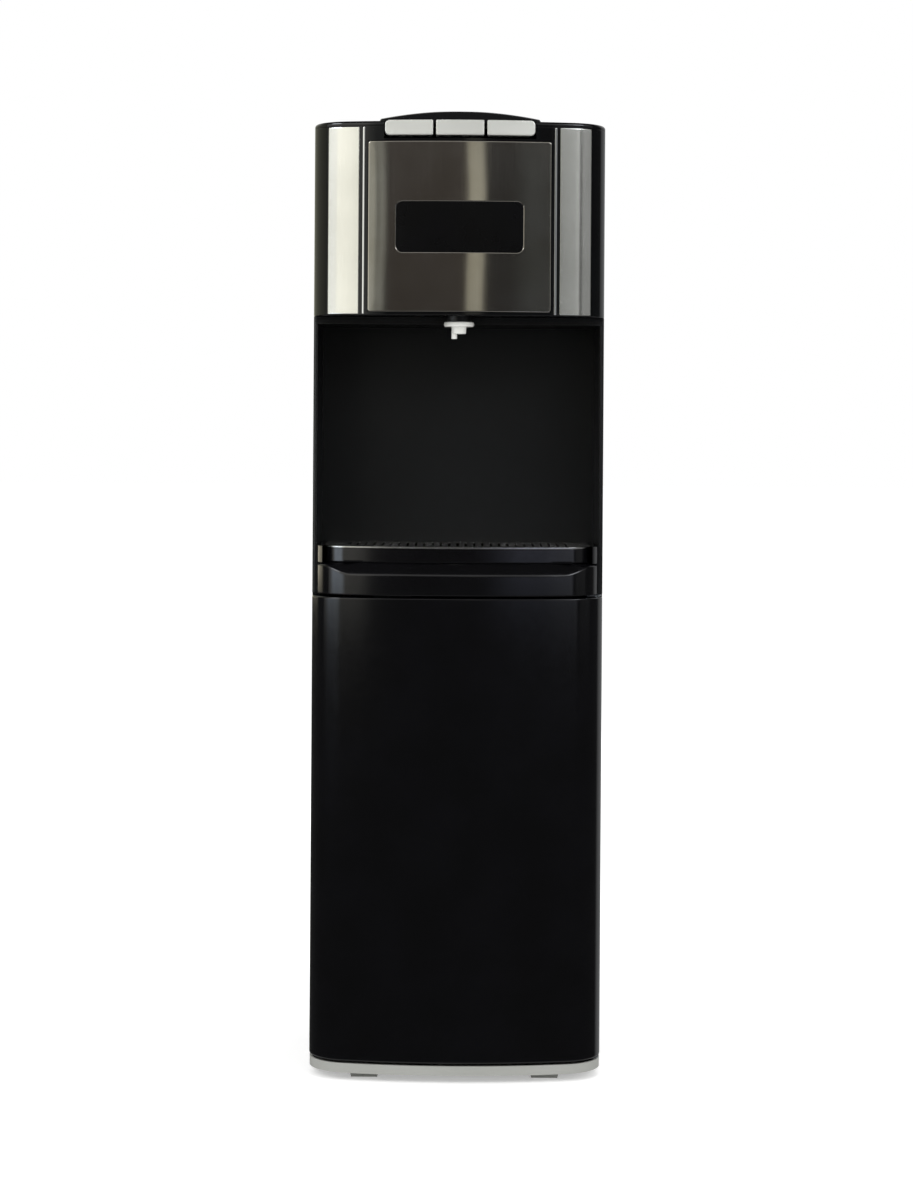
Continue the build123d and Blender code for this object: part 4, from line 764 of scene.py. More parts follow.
# Moulded rubber: matt black with bloom.
RUBBER = Finish("moulded_rubber", "#161616", "#202020", (0.7, 0.85), ior=1.52,
                grain_mm=(1.1, 1.1, 1.1), bump_mm=0.03)
# Drawn copper pipe: brown to pink where it was handled and brazed.
COPPER = Finish("drawn_copper", "#b87a58", "#8a5a40", (0.24, 0.4), metallic=1.0,
                grain_mm=(0.6, 0.6, 14), bump_mm=0.004, cloud_mm=22, pattern=Pattern.BANDS)
# Expanded polystyrene: pressed beads, matt white.
FOAM = Finish("expanded_polystyrene", "#e6e3d8", "#dcd8ca", (0.75, 0.9), ior=1.4,
              grain_mm=(4, 4, 4), bump_mm=0.12, pattern=Pattern.CELLS)
# Silicone hose: milky, slightly see-through, with dust on its skin.
SILICONE = Finish("extruded_silicone", "#dcdad0", "#cfccc0", (0.4, 0.55), ior=1.41,
                  grain_mm=(2, 2, 2), bump_mm=0.01, transmission=0.1)
# Circuit board under solder mask: glossy green over the weave of the glass cloth.
BOARD = Finish("solder_mask_board", "#0e3a1c", "#124a24", (0.2, 0.32), ior=1.5,
               grain_mm=(1.2, 8, 1.2), bump_mm=0.01)
# Music wire, drawn and passivated.
SPRING_WIRE = Finish("drawn_music_wire", "#a5a6a6", "#8f9091", (0.25, 0.38), metallic=1.0,
                     grain_mm=(0.4, 0.4, 5), bump_mm=0.002)
# Polycarbonate rockers, moulded through in red and in blue, glossy.
RED_PC = Finish("moulded_red_polycarbonate", "#a81616", "#961212", (0.14, 0.22), ior=1.58,
                grain_mm=(2.5, 2.5, 2.5), bump_mm=0.004)
BLUE_PC = Finish("moulded_blue_polycarbonate", "#15379c", "#122f88", (0.14, 0.22), ior=1.58,
                 grain_mm=(2.5, 2.5, 2.5), bump_mm=0.004)


# ---------------------------------------------------------------- pieces
def add_piece(
    name: str,
    shape: Shape,
    finish: Finish,
    body: str,
    nodes: tuple[str, ...],
    sharp: float = 35.0,
) -> None:
    """Makes a piece, dresses it and sets it on the frame.

    Args:
        name: The piece's name.
        shape: Its surface.
        finish: Its material.
        body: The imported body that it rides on.
        nodes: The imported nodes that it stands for.
        sharp: Edges with a larger turn than this, in degrees, stay sharp.
    """
    mesh = bpy.data.meshes.new(name)
    faces = shape.quads.tolist() + [list(cap) for cap in shape.caps]
    mesh.from_pydata((shape.points * MM).tolist(), [], faces)
    mesh.validate()
    mesh.shade_smooth()
    mesh.set_sharp_from_angle(angle=math.radians(sharp))
    mesh.materials.append(finish.build())
    piece = placed(name, mesh)
    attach(piece, body)
    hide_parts(*nodes)
    log.info("%s: %d faces, on %s", name, len(mesh.polygons), body)


DOOR_LOW, DOOR_HIGH = span("door_panel")
CABINET = Outline(half=DOOR_HIGH[0], nose=DOOR_LOW[1], corner=45.0, bow=600.0, back=span("top_cover")[1][1],
                  rear_corner=4.0)


@dataclass(frozen=True)
class Door:
    """The bowed door skin: a shell with rounded rims, open at the back."""

    skin: float = 3.0
    jamb: float = 17.0
    rim_round: float = 1.6
    thickness: float = 28.0

    def rim(self, stations: Array, end: float) -> Array:
        """Inner edge of the top and bottom skins: along the liner, then back to the door's rear.

        Args:
            stations: Distances along the outline.
            end: The last of them.

        Returns:
            X and Y at each station.
        """
        inner_half = CABINET.half - self.jamb
        liner_y = CABINET.nose + self.thickness
        depth = DOOR_HIGH[1] - liner_y
        way = np.abs(stations) / end * (inner_half + depth)
        x = np.sign(stations) * np.minimum(way, inner_half)
        return np.stack([x, liner_y + np.maximum(way - inner_half, 0)], -1)

    def panel(self) -> Shape:
        """A C-shaped section of skin, top and bottom, carried along the cabinet's outline.

        Returns:
            The closed skin.
        """
        low, high, edge = DOOR_LOW[2], DOOR_HIGH[2], self.rim_round
        end = CABINET.side_reach(DOOR_HIGH[1])
        stations = CABINET.stations(-end, end)
        outer = softened([(0, low, edge), (0, high, edge), (BEHIND, high, 0), (BEHIND, low, 0)], 5)[:-2]
        inside = [(BEHIND, high), (BEHIND, high - self.skin), (self.skin, high - self.skin),
                  (self.skin, low + self.skin), (BEHIND, low + self.skin), (BEHIND, low)]
        profile = np.vstack([outer, inside])
        pull = pulled(len(profile), -6, -5, -2, -1)
        return along_outline(CABINET, stations, profile, self.rim(stations, end), pull)

    def build(self) -> None:
        """Makes the door's pieces."""
        add_piece("door_skin", self.panel(), DOOR_ABS, "door", ("door_panel",))


@dataclass(frozen=True)
class Trim:
    """A thin plate of the head's front, drawn by its front view."""

    middle: float
    width: float
    low: float
    high: float
    corner: float = 0.6
    edge: float = 0.4
    depth: float = 1.2
    recess: float = 0.0
    column: float = 5.0

    def grid(self, shrink: float, inset: float, rows: int = 4, arc: int = 6) -> Array:
        """Front view drawn in by a distance, laid on the outline at an inset.

        Column tops follow the corner's arc, z = top - r (1 - sin a) at x = side - r (1 - cos a),
        and rows divide each column evenly.

        Args:
            shrink: How far the view is drawn in.
            inset: Depth behind the outline.
            rows: Points up each column.
            arc: Flats of each corner.

        Returns:
            Columns by rows by three coordinates.
        """
        half, top = self.width / 2 - shrink, (self.high - self.low) / 2 - shrink
        radius = max(self.corner - shrink, LEAST_ROUND)
        down, across = quarter(radius, arc).T
        flat = np.linspace(-half + radius, half - radius, max(3, math.ceil(self.width / self.column)))[1:-1]
        x = np.concatenate([across - half, flat, (half - across)[::-1]])
        z = np.concatenate([top - down, np.full(len(flat), top), (top - down)[::-1]])
        px, py = CABINET.place(CABINET.reach(self.middle + x), inset)
        return upright_grid(px, py, (self.high + self.low) / 2, z, rows)

    def shape(self) -> Shape:
        """The plate with a rounded front edge."""
        edges = [self.grid(shrink, inset) for shrink, inset in quarter(self.edge, 3) + (0, self.recess)]
        return pad(self.grid(self.edge + HOLD, self.recess), edges, self.grid(0, self.recess + self.depth))


@dataclass(frozen=True)
class Head:
    """The gloss head with its brushed panel, window, chrome strips and silver wings."""

    skin: float = 3.0
    floor: float = 2.5
    floor_share: float = 0.9
    floor_lap: tuple[float, float] = (0.2, 0.4)
    pocket: float = 1.2
    pocket_wall: float = 0.25
    gap: float = 0.3
    panel_half: float = 97.0
    panel_corner: float = 3.0
    window_half: float = 67.5
    window_corner: float = 7.0
    window_recess: float = 0.35
    window_room: float = 0.1
    strip_inner: float = 100.5
    strip_width: float = 2.5
    notch_half: float = 80.6
    notch_room: float = 3.5
    display: tuple[float, float] = (50.0, 20.5)
    edge: float = 0.7
    rim_round: float = 0.8
    run_points: tuple[int, int] = (41, 9)
    arc_points: int = 9
    face_rings: int = 8

    def loop(self, half: float, low: float, high: float, corner: float, grow: float, inset: float) -> Array:
        """Closed rounded rectangle in front view, grown by a distance and laid on the outline.

        Its second half is the first one turned half way round.

        Args:
            half: Half its width.
            low: Its foot.
            high: Its top.
            corner: Radius of its corners.
            grow: How far it is grown.
            inset: Depth behind the outline.

        Returns:
            Rows of three coordinates.
        """
        arc = np.linspace(0, math.pi / 2, self.arc_points)
        wide, tall = half + grow, (high - low) / 2 + grow
        radius = max(corner + grow, LEAST_ROUND)
        rise, run = radius * np.sin(arc), radius * np.cos(arc)
        cx, cz = wide - radius, tall - radius
        run_x = np.linspace(-1, 1, self.run_points[0])[1:-1] * cx
        run_z = np.linspace(-1, 1, self.run_points[1])[1:-1] * cz
        x = np.concatenate([run_x, cx + rise, np.full(len(run_z), wide), cx + run])
        z = np.concatenate([np.full(len(run_x), -tall), -cz - run, run_z, cz + rise])
        x, z = np.concatenate([x, -x]), np.concatenate([z, -z])
        px, py = CABINET.place(CABINET.reach(x), inset)
        return np.stack([px, py, (low + high) / 2 + z], -1)

    def panel(self) -> Shape:
        """Brushed panel: loops from its outer wall over the front to the window's wall and round the back.

        Returns:
            The closed skin.
        """
        (_, _, low), (_, _, high) = span("centre_panel")
        (_, _, win_low), (_, _, win_high) = span("window_lens")
        plate = partial(self.loop, self.panel_half, low, high, self.panel_corner)
        window = partial(self.loop, self.window_half, win_low, win_high, self.window_corner)
        rim = quarter(self.edge, 3)
        outer = [plate(-drawn, inset) for inset, drawn in rim]
        inner = [window(grown, inset) for grown, inset in rim]
        start, stop = plate(-self.edge - HOLD, 0), window(self.edge + HOLD, 0)
        face = []
        for share in np.linspace(0, 1, self.face_rings):
            mixed = start * (1 - share) + stop * share
            px, py = CABINET.place(CABINET.reach(mixed[:, 0]), 0.0)
            face.append(np.stack([px, py, mixed[:, 2]], -1))
        back = [window(0, self.pocket), plate(0, self.pocket)]
        return carried(np.array(outer + face + inner + back), True)

    def pockets(self) -> list[tuple[float, float, float, float]]:
        """Each trim's pocket with its gap: from and to along the outline, from and to in height.

        Returns:
            One row for each pocket.
        """
        views = [(low[0], high[0], low[2], high[2])
                 for low, high in map(span, ("centre_panel", "wing_left", "wing_right"))]
        low, high = span("trim_strips")
        views += [(*sorted((side * self.strip_inner, side * high[0])), low[2], high[2]) for side in (-1, 1)]
        gap = self.gap
        return [(float(CABINET.reach(x0 - gap)), float(CABINET.reach(x1 + gap)), z0 - gap, z1 + gap)
                for x0, x1, z0, z1 in views]

    def housing(self) -> Shape:
        """Head skin: inset is a step function of distance and height, one step for each trim's pocket.

        Returns:
            The closed skin.
        """
        low, high = span("head_housing")
        top_notch = span("hot_button")[1][2] - Buttons.height - self.notch_room
        boxes, wall = self.pockets(), self.pocket_wall
        marks_s = [mark for s0, s1, _, _ in boxes for mark in (s0 - wall, s0, s1, s1 + wall)]
        marks_z = [mark for _, _, z0, z1 in boxes for mark in (z0 - wall, z0, z1, z1 + wall)]
        middle = sum(corner[2] for corner in span("window_lens")) / 2
        notch, display = (float(CABINET.reach(half)) for half in (self.notch_half, self.display[0]))
        end = CABINET.side_reach(high[1])
        s = CABINET.stations(-end, end, (*marks_s, -notch, notch, -display, display))
        rounding = quarter(self.rim_round, 3)[:, 1]
        levels = [top_notch, middle - self.display[1], middle + self.display[1]]
        z = np.unique(np.round(np.concatenate([low[2] + rounding, high[2] - rounding, marks_z, levels]), 4))
        inset = np.zeros((len(s), len(z)))
        for s0, s1, z0, z1 in boxes:
            along = (s >= s0 - NEAR) & (s <= s1 + NEAR)
            inset[np.ix_(along, (z >= z0 - NEAR) & (z <= z1 + NEAR))] = self.pocket
        drawn = np.clip(self.rim_round - np.minimum(z - low[2], high[2] - z), 0, self.rim_round)
        inset = np.maximum(inset, self.rim_round - np.sqrt(self.rim_round**2 - drawn**2))
        ox, oy = CABINET.place(s[:, None], inset)
        ix, iy = CABINET.place(s[:, None], np.full_like(inset, self.skin))
        tall = np.broadcast_to(z, inset.shape)
        mid_s, mid_z = np.abs(s[1:] + s[:-1]) / 2, (z[1:] + z[:-1]) / 2
        keep = np.ones((len(mid_s), len(mid_z)), bool)
        keep[np.ix_(mid_s < notch, mid_z > top_notch)] = False
        keep[np.ix_(mid_s < display, np.abs(mid_z - middle) < self.display[1])] = False
        return slab(np.stack([ox, oy, tall], -1), np.stack([ix, iy, tall], -1), keep) + self.bottom()

    def bottom(self) -> Shape:
        """Floor of the head, from the skin back to a rim line inside the cabinet.

        Returns:
            The closed skin.
        """
        low, high = span("head_housing")
        end = CABINET.side_reach(high[1])
        stations = CABINET.stations(-end, end)
        rim = np.stack([CABINET.place(stations)[0] * self.floor_share, np.full(len(stations), high[1])], -1)
        front, foot = self.skin - self.floor_lap[0], low[2] + self.floor_lap[1]
        top = low[2] + self.floor
        profile = np.array([(front, foot), (front, top), (BEHIND, top), (BEHIND, foot)])
        return along_outline(CABINET, stations, profile, rim, pulled(4, -2, -1))

    def build(self) -> None:
        """Makes the head's pieces."""
        add_piece("head_shell", self.housing(), GLOSS_ABS, "cabinet", ("head_housing",))
        add_piece("panel_brushed", self.panel(), BRUSHED_PANEL, "cabinet", ("centre_panel",))
        (_, _, low), (_, _, high) = span("window_lens")
        lens = Trim(0, 2 * self.window_half - self.window_room, low, high, self.window_corner, edge=0.3,
                    depth=0.7, recess=self.window_recess)
        add_piece("window_plate", lens.shape(), ACRYLIC, "cabinet", ("window_lens",))
        low, high = span("trim_strips")
        width = self.strip_width
        strips = [Trim(side * (high[0] - width / 2), width, low[2], high[2], corner=0.5, edge=0.5).shape()
                  for side in (-1, 1)]
        add_piece("chrome_strips", joined(strips), CHROME, "cabinet", ("trim_strips",))
        for node in ("wing_left", "wing_right"):
            low, high = span(node)
            wing = Trim((low[0] + high[0]) / 2, high[0] - low[0], low[2], high[2], corner=0.8, edge=0.5)
            add_piece(f"{node}_plate", wing.shape(), SILVER_LACQUER, "cabinet", (node,))


@dataclass(frozen=True)
class Buttons:
    """Three push buttons in a row, bowed with the head."""

    edge: float = 1.1
    setback: float = 0.4
    end_round: float = 5.0
    inner_round: float = 1.3
    least_round: float = 0.1
    height: float = 16.0
    columns: int = 12
    rows: int = 4

    def view(self, node: str, shrink: float) -> tuple[Array, Array]:
        """Front view drawn in by a distance: columns' X, and half heights there.

        The end that faces outwards has the larger corner, drawn by the same arc as a trim's.

        Args:
            node: The button's node.
            shrink: How far the view is drawn in.

        Returns:
            X and half height of each column.
        """
        low, high = span(node)
        side = np.sign(np.round((low[0] + high[0]) / 2))
        top = self.height / 2 - shrink
        x0, x1 = low[0] + shrink, high[0] - shrink
        ends = []
        for facing in (-1, 1):
            radius = self.end_round if facing == side else self.inner_round
            down, across = quarter(max(radius - shrink, self.least_round), 8).T
            ends.append((across, top - down))
        flat = np.linspace(x0 + ends[0][0][-1], x1 - ends[1][0][-1], self.columns)[1:-1]
        x = np.concatenate([x0 + ends[0][0], flat, (x1 - ends[1][0])[::-1]])
        return x, np.concatenate([ends[0][1], np.full(len(flat), top), ends[1][1][::-1]])

    def grid(self, node: str, shrink: float, inset: float | None) -> Array:
        """The front view laid on the outline at an inset, or on the flat back where that is None.

        Args:
            node: The button's node.
            shrink: How far the view is drawn in.
            inset: Depth behind the outline, or None.

        Returns:
            Columns by rows by three coordinates.
        """
        high = span(node)[1]
        x, tall = self.view(node, shrink)
        px, py = CABINET.place(CABINET.reach(x), inset or 0.0)
        if inset is None:
            px, py = x, np.full(len(x), high[1])
        return upright_grid(px, py, high[2] - self.height / 2, tall, self.rows)

    def build(self) -> None:
        """Makes the three buttons."""
        rim = quarter(self.edge, 4) + (0, self.setback)
        for node in ("hot_button", "room_button", "cold_button"):
            edges = [self.grid(node, shrink, inset) for shrink, inset in rim]
            shape = pad(self.grid(node, self.edge + HOLD, self.setback), edges, self.grid(node, 0, None))
            add_piece(f"{node}_cap", shape, SATIN_LACQUER, node, (node,))


@dataclass(frozen=True)
class Cover:
    """Top cover with a rounded edge, a notch for the buttons and a crowned pod."""

    edge: float = 3.0
    notch_half: float = 80.6
    plate_height: float = 5.0
    pod_half: float = 86.0
    pod_front: float = -152.2
    pod_back: float = -40.2
    pod_edge_rise: float = 6.0
    pod_foot: float = 0.5
    pod_round: float = 2.0
    pod_sink: float = 2.0
    front_run: float = 34.0
    back_run: float = 24.0
    blend: float = 2.5
    least_sink: float = 0.4
    columns: int = 61
    rows: int = 81

    def plate(self) -> Shape:
        """Flat plate: a rounded profile from the notch round the back and to the notch again.

        Returns:
            The closed skin.
        """
        low, high = CABINET_TOP - self.plate_height, CABINET_TOP
        total = CABINET.runs.sum()
        start = float(CABINET.reach(self.notch_half))
        stations = CABINET.stations(start, 2 * total - start, (total,))
        profile = softened([(0, low, 0), (0, high, self.edge), (BEHIND, high, 0), (BEHIND, low, 0)], 6)
        way = (stations - total) / (total - start)
        rim = np.stack([-way * self.notch_half, np.full(len(stations), self.pod_front)], -1)
        return along_outline(CABINET, stations, profile, rim, pulled(len(profile), -2, -1))

    def pod(self) -> Shape:
        """Pod: the soft minimum of an arch over X and of two slopes over Y, with rounded sides.

        The arch is a circle through the crown and both side edges. The soft minimum of a and b is
        min(a, b) - max(k - |a - b|, 0)^2 / (4 k).

        Returns:
            The closed skin.
        """
        base, crown = CABINET_TOP, span("top_cover")[1][2]
        sag = crown - base - self.pod_edge_rise
        radius = (self.pod_half**2 + sag**2) / (2 * sag)
        rounding = quarter(self.pod_round, 5)[:, 1]
        x = np.unique(np.concatenate([np.linspace(-self.pod_half, self.pod_half, self.columns),
                                      -self.pod_half + rounding, self.pod_half - rounding]))
        y = np.unique(np.concatenate([np.linspace(self.pod_front, self.pod_back, self.rows),
                                      self.pod_front + rounding / 2]))
        arch = crown - radius + np.sqrt(radius**2 - x**2)
        foot = base + self.pod_foot
        slope = np.minimum(foot + (crown - foot) * (y - self.pod_front) / self.front_run,
                           base + (crown - base) * (self.pod_back - y) / self.back_run)
        a, b = arch[:, None], np.minimum(slope, crown)[None, :]
        top = np.minimum(a, b) - np.maximum(self.blend - np.abs(a - b), 0) ** 2 / (4 * self.blend)
        near = np.clip(self.pod_round - (self.pod_half - np.abs(x)), 0, self.pod_round)[:, None]
        top = top - (self.pod_round - np.sqrt(self.pod_round**2 - near**2))
        top = np.maximum(top, base - self.least_sink)
        gx, gy = np.meshgrid(x, y, indexing="ij")
        under = np.full_like(gx, base - self.pod_sink)
        return slab(np.stack([gx, gy, top], -1), np.stack([gx, gy, under], -1))

    def build(self) -> None:
        """Makes the cover."""
        add_piece("cover_with_pod", self.plate() + self.pod(), GLOSS_ABS, "cabinet", ("top_cover",),
                  sharp=50)


CABINET_TOP = span("head_housing")[1][2] + Cover.plate_height


@dataclass(frozen=True)
class TrayBand:
    """The band under the recess: housing with a sloped ledge, slide-out tray and slotted grille."""

    wall: float = 2.0
    housing_wall: float = 2.5
    shelf: float = 4.0
    setback: float = 10.5
    side: float = 151.2
    corner: float = 45.0
    tray_corner: float = 30.0
    rear_corner: float = 1.5
    rim_share: float = 0.86
    pocket_gap: float = 0.7
    foot_round: float = 0.8
    fade_start: float = 112.0
    ledge_steps: int = 12
    ledge_start: float = 3.0
    ledge_end: float = 1.0
    cheek_sink: float = 0.5
    cheek_round: float = 0.6
    tray_lift: float = 0.3
    floor_lap: float = 9.0
    floor_inset: tuple[float, float] = (8.0, 8.5)
    floor_corner: tuple[float, float] = (22.0, 30.0)
    notch: tuple[float, float, float] = (20.0, 1.0, 3.0)
    hair: float = 0.01
    slot: tuple[float, float] = (2.6, 100.0)
    slot_pitch: float = 9.0
    slot_count: int = 27
    slot_end: float = 20.0
    grille_sheet: float = 1.0
    grille_corner: float = 14.0
    grille_lip: tuple[float, float] = (0.6, 0.35)
    rim_round: float = 0.2
    rim_seat: tuple[float, float] = (0.3, 0.6)

    def section(self, outline: Outline, stations: Array) -> Array:
        """Section of the housing at each station, whose upper corner follows the slope to the tray.

        The slope runs back to the tray and rises as much, and round the corners a smoothstep
        lets its rise fade until the cheek beside the tray begins. The section turns over it on a
        cubic curve whose control points are the wall below the foot of the slope, the foot, the
        slope's head and the ledge behind it.

        Args:
            outline: The housing's outline.
            stations: Distances along it.

        Returns:
            Stations by points by inset and height.
        """
        low = span("tray_housing")[0][2]
        tray_low, tray_high = span("drip_tray")
        top, slope = tray_low[2], self.setback - self.ledge_end
        fade_end = float(outline.reach(tray_high[0] + self.pocket_gap))
        fade = np.clip((np.abs(stations) - self.fade_start) / (fade_end - self.fade_start), 0, 1)
        drop = self.ledge_end + slope * (1 - fade**2 * (3 - 2 * fade))
        foot = (top - drop)[:, None]
        share = np.linspace(0, 1, self.ledge_steps)
        lead, first = (1 - share) ** 3, 3 * share * (1 - share) ** 2
        second, last = 3 * share**2 * (1 - share), share**3
        inset = np.broadcast_to(second * slope + last * self.setback, (len(stations), len(share)))
        height = lead * (foot - self.ledge_start) + first * foot + (second + last) * top
        corners = [(0, low, self.foot_round), (0, top, 0), (BEHIND, top, 0), (BEHIND, low, 0)]
        inside, under, floor = self.setback + self.housing_wall, top - self.shelf, low + self.housing_wall
        back = [(BEHIND, top), (BEHIND, under), (inside, under),
                (inside, floor), (BEHIND, floor), (BEHIND, low)]
        front, back = (np.broadcast_to(np.array(part, float), (len(stations),) + np.shape(part))
                       for part in (softened(corners, 3)[:-3], back))
        held = np.stack([np.zeros_like(foot), foot - self.ledge_start - HOLD], -1)
        return np.concatenate([front, held, np.stack([inset, height], -1), back], axis=1)

    def housing(self) -> Shape:
        """Front strip with its sloped ledge, and a cheek on each side of the tray.

        Returns:
            The closed skin.
        """
        low, high = span("tray_housing")
        tray_low, tray_high = span("drip_tray")
        outline = Outline(self.side, low[1], self.corner, CABINET.bow, high[1])
        end = outline.runs[:3].sum()
        stations = outline.stations(-end, end)
        table = self.section(outline, stations)
        rim = np.stack([outline.place(stations)[0] * self.rim_share, np.full(len(stations), high[1])], -1)
        strip = along_outline(outline, stations, table, rim, pulled(table.shape[1], -6, -5, -2, -1))
        pocket, sunk = tray_high[0] + self.pocket_gap, tray_low[2] - self.cheek_sink
        path = outline.stations(float(outline.reach(pocket)), end)[1:]
        corners = [(0, sunk, 0), (0, high[2], self.cheek_round), (BEHIND, high[2], 0), (BEHIND, sunk, 0)]
        profile = softened(corners, 3)
        line = np.stack([np.full(len(path), pocket), outline.place(path)[1]], -1)
        cheek = along_outline(outline, path, profile, line, pulled(len(profile), -2, -1))
        mirrored = Shape(cheek.points * (-1, 1, 1), cheek.quads, cheek.caps).outward()
        return joined([strip, mirrored, cheek])

    def tray(self) -> Shape:
        """Tray: outer wall, rim, inner wall and floor round its outline, and a shallow finger notch.

        Returns:
            The closed skin.
        """
        low, high = span("drip_tray")
        outline = Outline(high[0], low[1], self.tray_corner, CABINET.bow, high[1], self.rear_corner)
        total = outline.runs.sum()
        side_x, below, tall = self.notch
        edge = float(outline.reach(side_x))
        stations = outline.stations(-total, total - NEAR, (-edge - HOLD, -edge, edge, edge + HOLD))
        bottom, top = low[2] + self.tray_lift, high[2]
        floor_top = bottom + self.wall
        notch_low, notch_high = top - 2 * tall, top - tall
        notch_z = (notch_low, notch_low + self.hair, notch_high - self.hair, notch_high)
        profile = np.vstack([
            quarter(self.foot_round, 3) + (0, bottom),
            [(0, bottom + self.foot_round + HOLD), *((0, z) for z in notch_z), (0, top), (self.wall, top),
             (self.wall, floor_top), (self.floor_lap, floor_top), (self.floor_lap, bottom)],
        ])
        table = np.tile(profile, (len(stations), 1, 1))
        within = (profile[:, 1] > notch_low) & (profile[:, 1] < notch_high) & (profile[:, 0] == 0)
        table[np.ix_(np.abs(stations) <= edge + NEAR, within, [0])] = below
        strip = along_outline(outline, stations, table, closed=True)
        inset, front = self.floor_inset
        narrow, square = self.floor_corner
        x = np.linspace(-high[0] + inset, high[0] - inset, 3)
        y = np.linspace(low[1] + front, high[1] - inset, 3)
        gx, gy = np.meshgrid(x, y, indexing="ij")
        half = np.interp(gy, [low[1] + front, low[1] + square], [high[0] - narrow, high[0] - inset])
        gx = np.clip(gx, -half, half)
        levels = [np.stack([gx, gy, np.full_like(gx, level)], -1) for level in (floor_top, bottom)]
        return strip + slab(*levels)

    def grille(self) -> Shape:
        """Slotted plate: columns run from the bowed front edge to the back, cut by the slots.

        Returns:
            The closed skin.
        """
        low, high = span("drip_grille")
        outline = Outline(high[0], low[1], self.tray_corner, CABINET.bow, high[1], self.rear_corner)
        half_slot, half_length = self.slot[0] / 2, self.slot[1] / 2
        first = -(self.slot_count - 1) / 2 * self.slot_pitch
        middles = first + self.slot_pitch * np.arange(self.slot_count)
        ends = high[0] - quarter(self.grille_corner, 7)[:, 1]
        x = np.concatenate([middles - half_slot, middles + half_slot, -ends, ends])
        x = np.unique(np.round(x, 3))
        front = outline.place(outline.reach(x))[1] + self.hair
        back, middle = high[1] + 0 * front, (low[1] + high[1]) / 2 + 0 * front
        lip, lip_drop = self.grille_lip
        y = np.stack([front, front + lip, middle - half_length, middle - half_length + self.slot_end,
                      middle + half_length - self.slot_end, middle + half_length, back - lip, back], -1)
        gx = np.broadcast_to(x[:, None], y.shape)
        top = np.full_like(y, high[2])
        top[:, [0, -1]] -= lip_drop
        mid = (x[1:] + x[:-1]) / 2
        slotted = np.min(np.abs(mid[:, None] - middles[None, :]), axis=1) < half_slot
        keep = np.ones((len(x) - 1, y.shape[1] - 1), bool)
        keep[np.ix_(slotted, [2, 3, 4])] = False
        under = np.full_like(y, high[2] - self.grille_sheet)
        plate = slab(np.stack([gx, y, top], -1), np.stack([gx, y, under], -1), keep)
        total = outline.runs.sum()
        outer, inner = (high[2] - seat for seat in self.rim_seat)
        rim = softened([(0, low[2], self.rim_round), (0, outer, self.rim_round), (self.wall, inner, 0),
                        (self.wall, low[2], 0)], 3)
        return plate + along_outline(outline, outline.stations(-total, total - NEAR), rim, closed=True)

    def build(self) -> None:
        """Makes the band's pieces."""
        add_piece("tray_band", self.housing(), DOOR_ABS, "cabinet", ("tray_housing",))
        add_piece("slide_tray", self.tray(), DOOR_ABS, "drip_tray", ("drip_tray",))
        add_piece("slotted_grille", self.grille(), BRUSHED_STEEL, "drip_grille", ("drip_grille",))


@dataclass(frozen=True)
class Spout:
    """White nozzle with its drip tip, and the dark collar that it hangs from."""

    bore: float = 5.0
    neck: float = 8.0
    hub: float = 7.0
    flange: float = 16.0
    flange_sheet: float = 5.0
    foot_rise: float = 5.5
    flange_rise: float = 7.5
    tip: float = 3.0
    tip_x: float = -5.0
    tip_rise: float = 3.0
    collar_bore: float = 7.5

    def nozzle(self) -> Shape:
        """Turned flange and spout with a bore, and the small tip beside it.

        Returns:
            The closed skin.
        """
        low, high = span("dispensing_nozzle")
        centre = (0.0, (low[1] + high[1]) / 2)
        foot = low[2] + self.foot_rise
        flange_low = foot + self.flange_rise
        flange_high, tip_high = flange_low + self.flange_sheet, foot + self.tip_rise
        body = softened([
            (self.bore, foot, 0.4), (self.neck - 0.4, foot, 0.8), (self.neck, flange_low, 1.5),
            (self.flange, flange_low, 1.6), (self.flange, flange_high, 1.2), (self.hub, flange_high, 0),
            (self.hub, high[2], 0), (self.bore, high[2], 0),
        ], 5)
        drip = softened([(self.tip / 2, low[2], 0.3), (self.tip, low[2], 0.7), (self.tip, tip_high, 0),
                         (self.tip / 2, tip_high, 0)], 4)
        return turned(body, centre, sides=64) + turned(drip, (self.tip_x, centre[1]), sides=32)

    def collar(self) -> Shape:
        """Turned ring with softened rims.

        Returns:
            The closed skin.
        """
        low, high = span("nozzle_collar")
        radius, bore = (high[0] - low[0]) / 2, self.collar_bore
        ring = softened([(bore, low[2], 0.3), (radius, low[2], 1.0), (radius, high[2], 0),
                         (bore, high[2], 0)], 5)
        return turned(ring, (0.0, (low[1] + high[1]) / 2), sides=64)

    def build(self) -> None:
        """Makes the nozzle and its collar."""
        add_piece("white_nozzle", self.nozzle(), ACETAL, "cabinet", ("dispensing_nozzle",))
        add_piece("nozzle_ring", self.collar(), SATIN_ABS, "cabinet", ("nozzle_collar",))


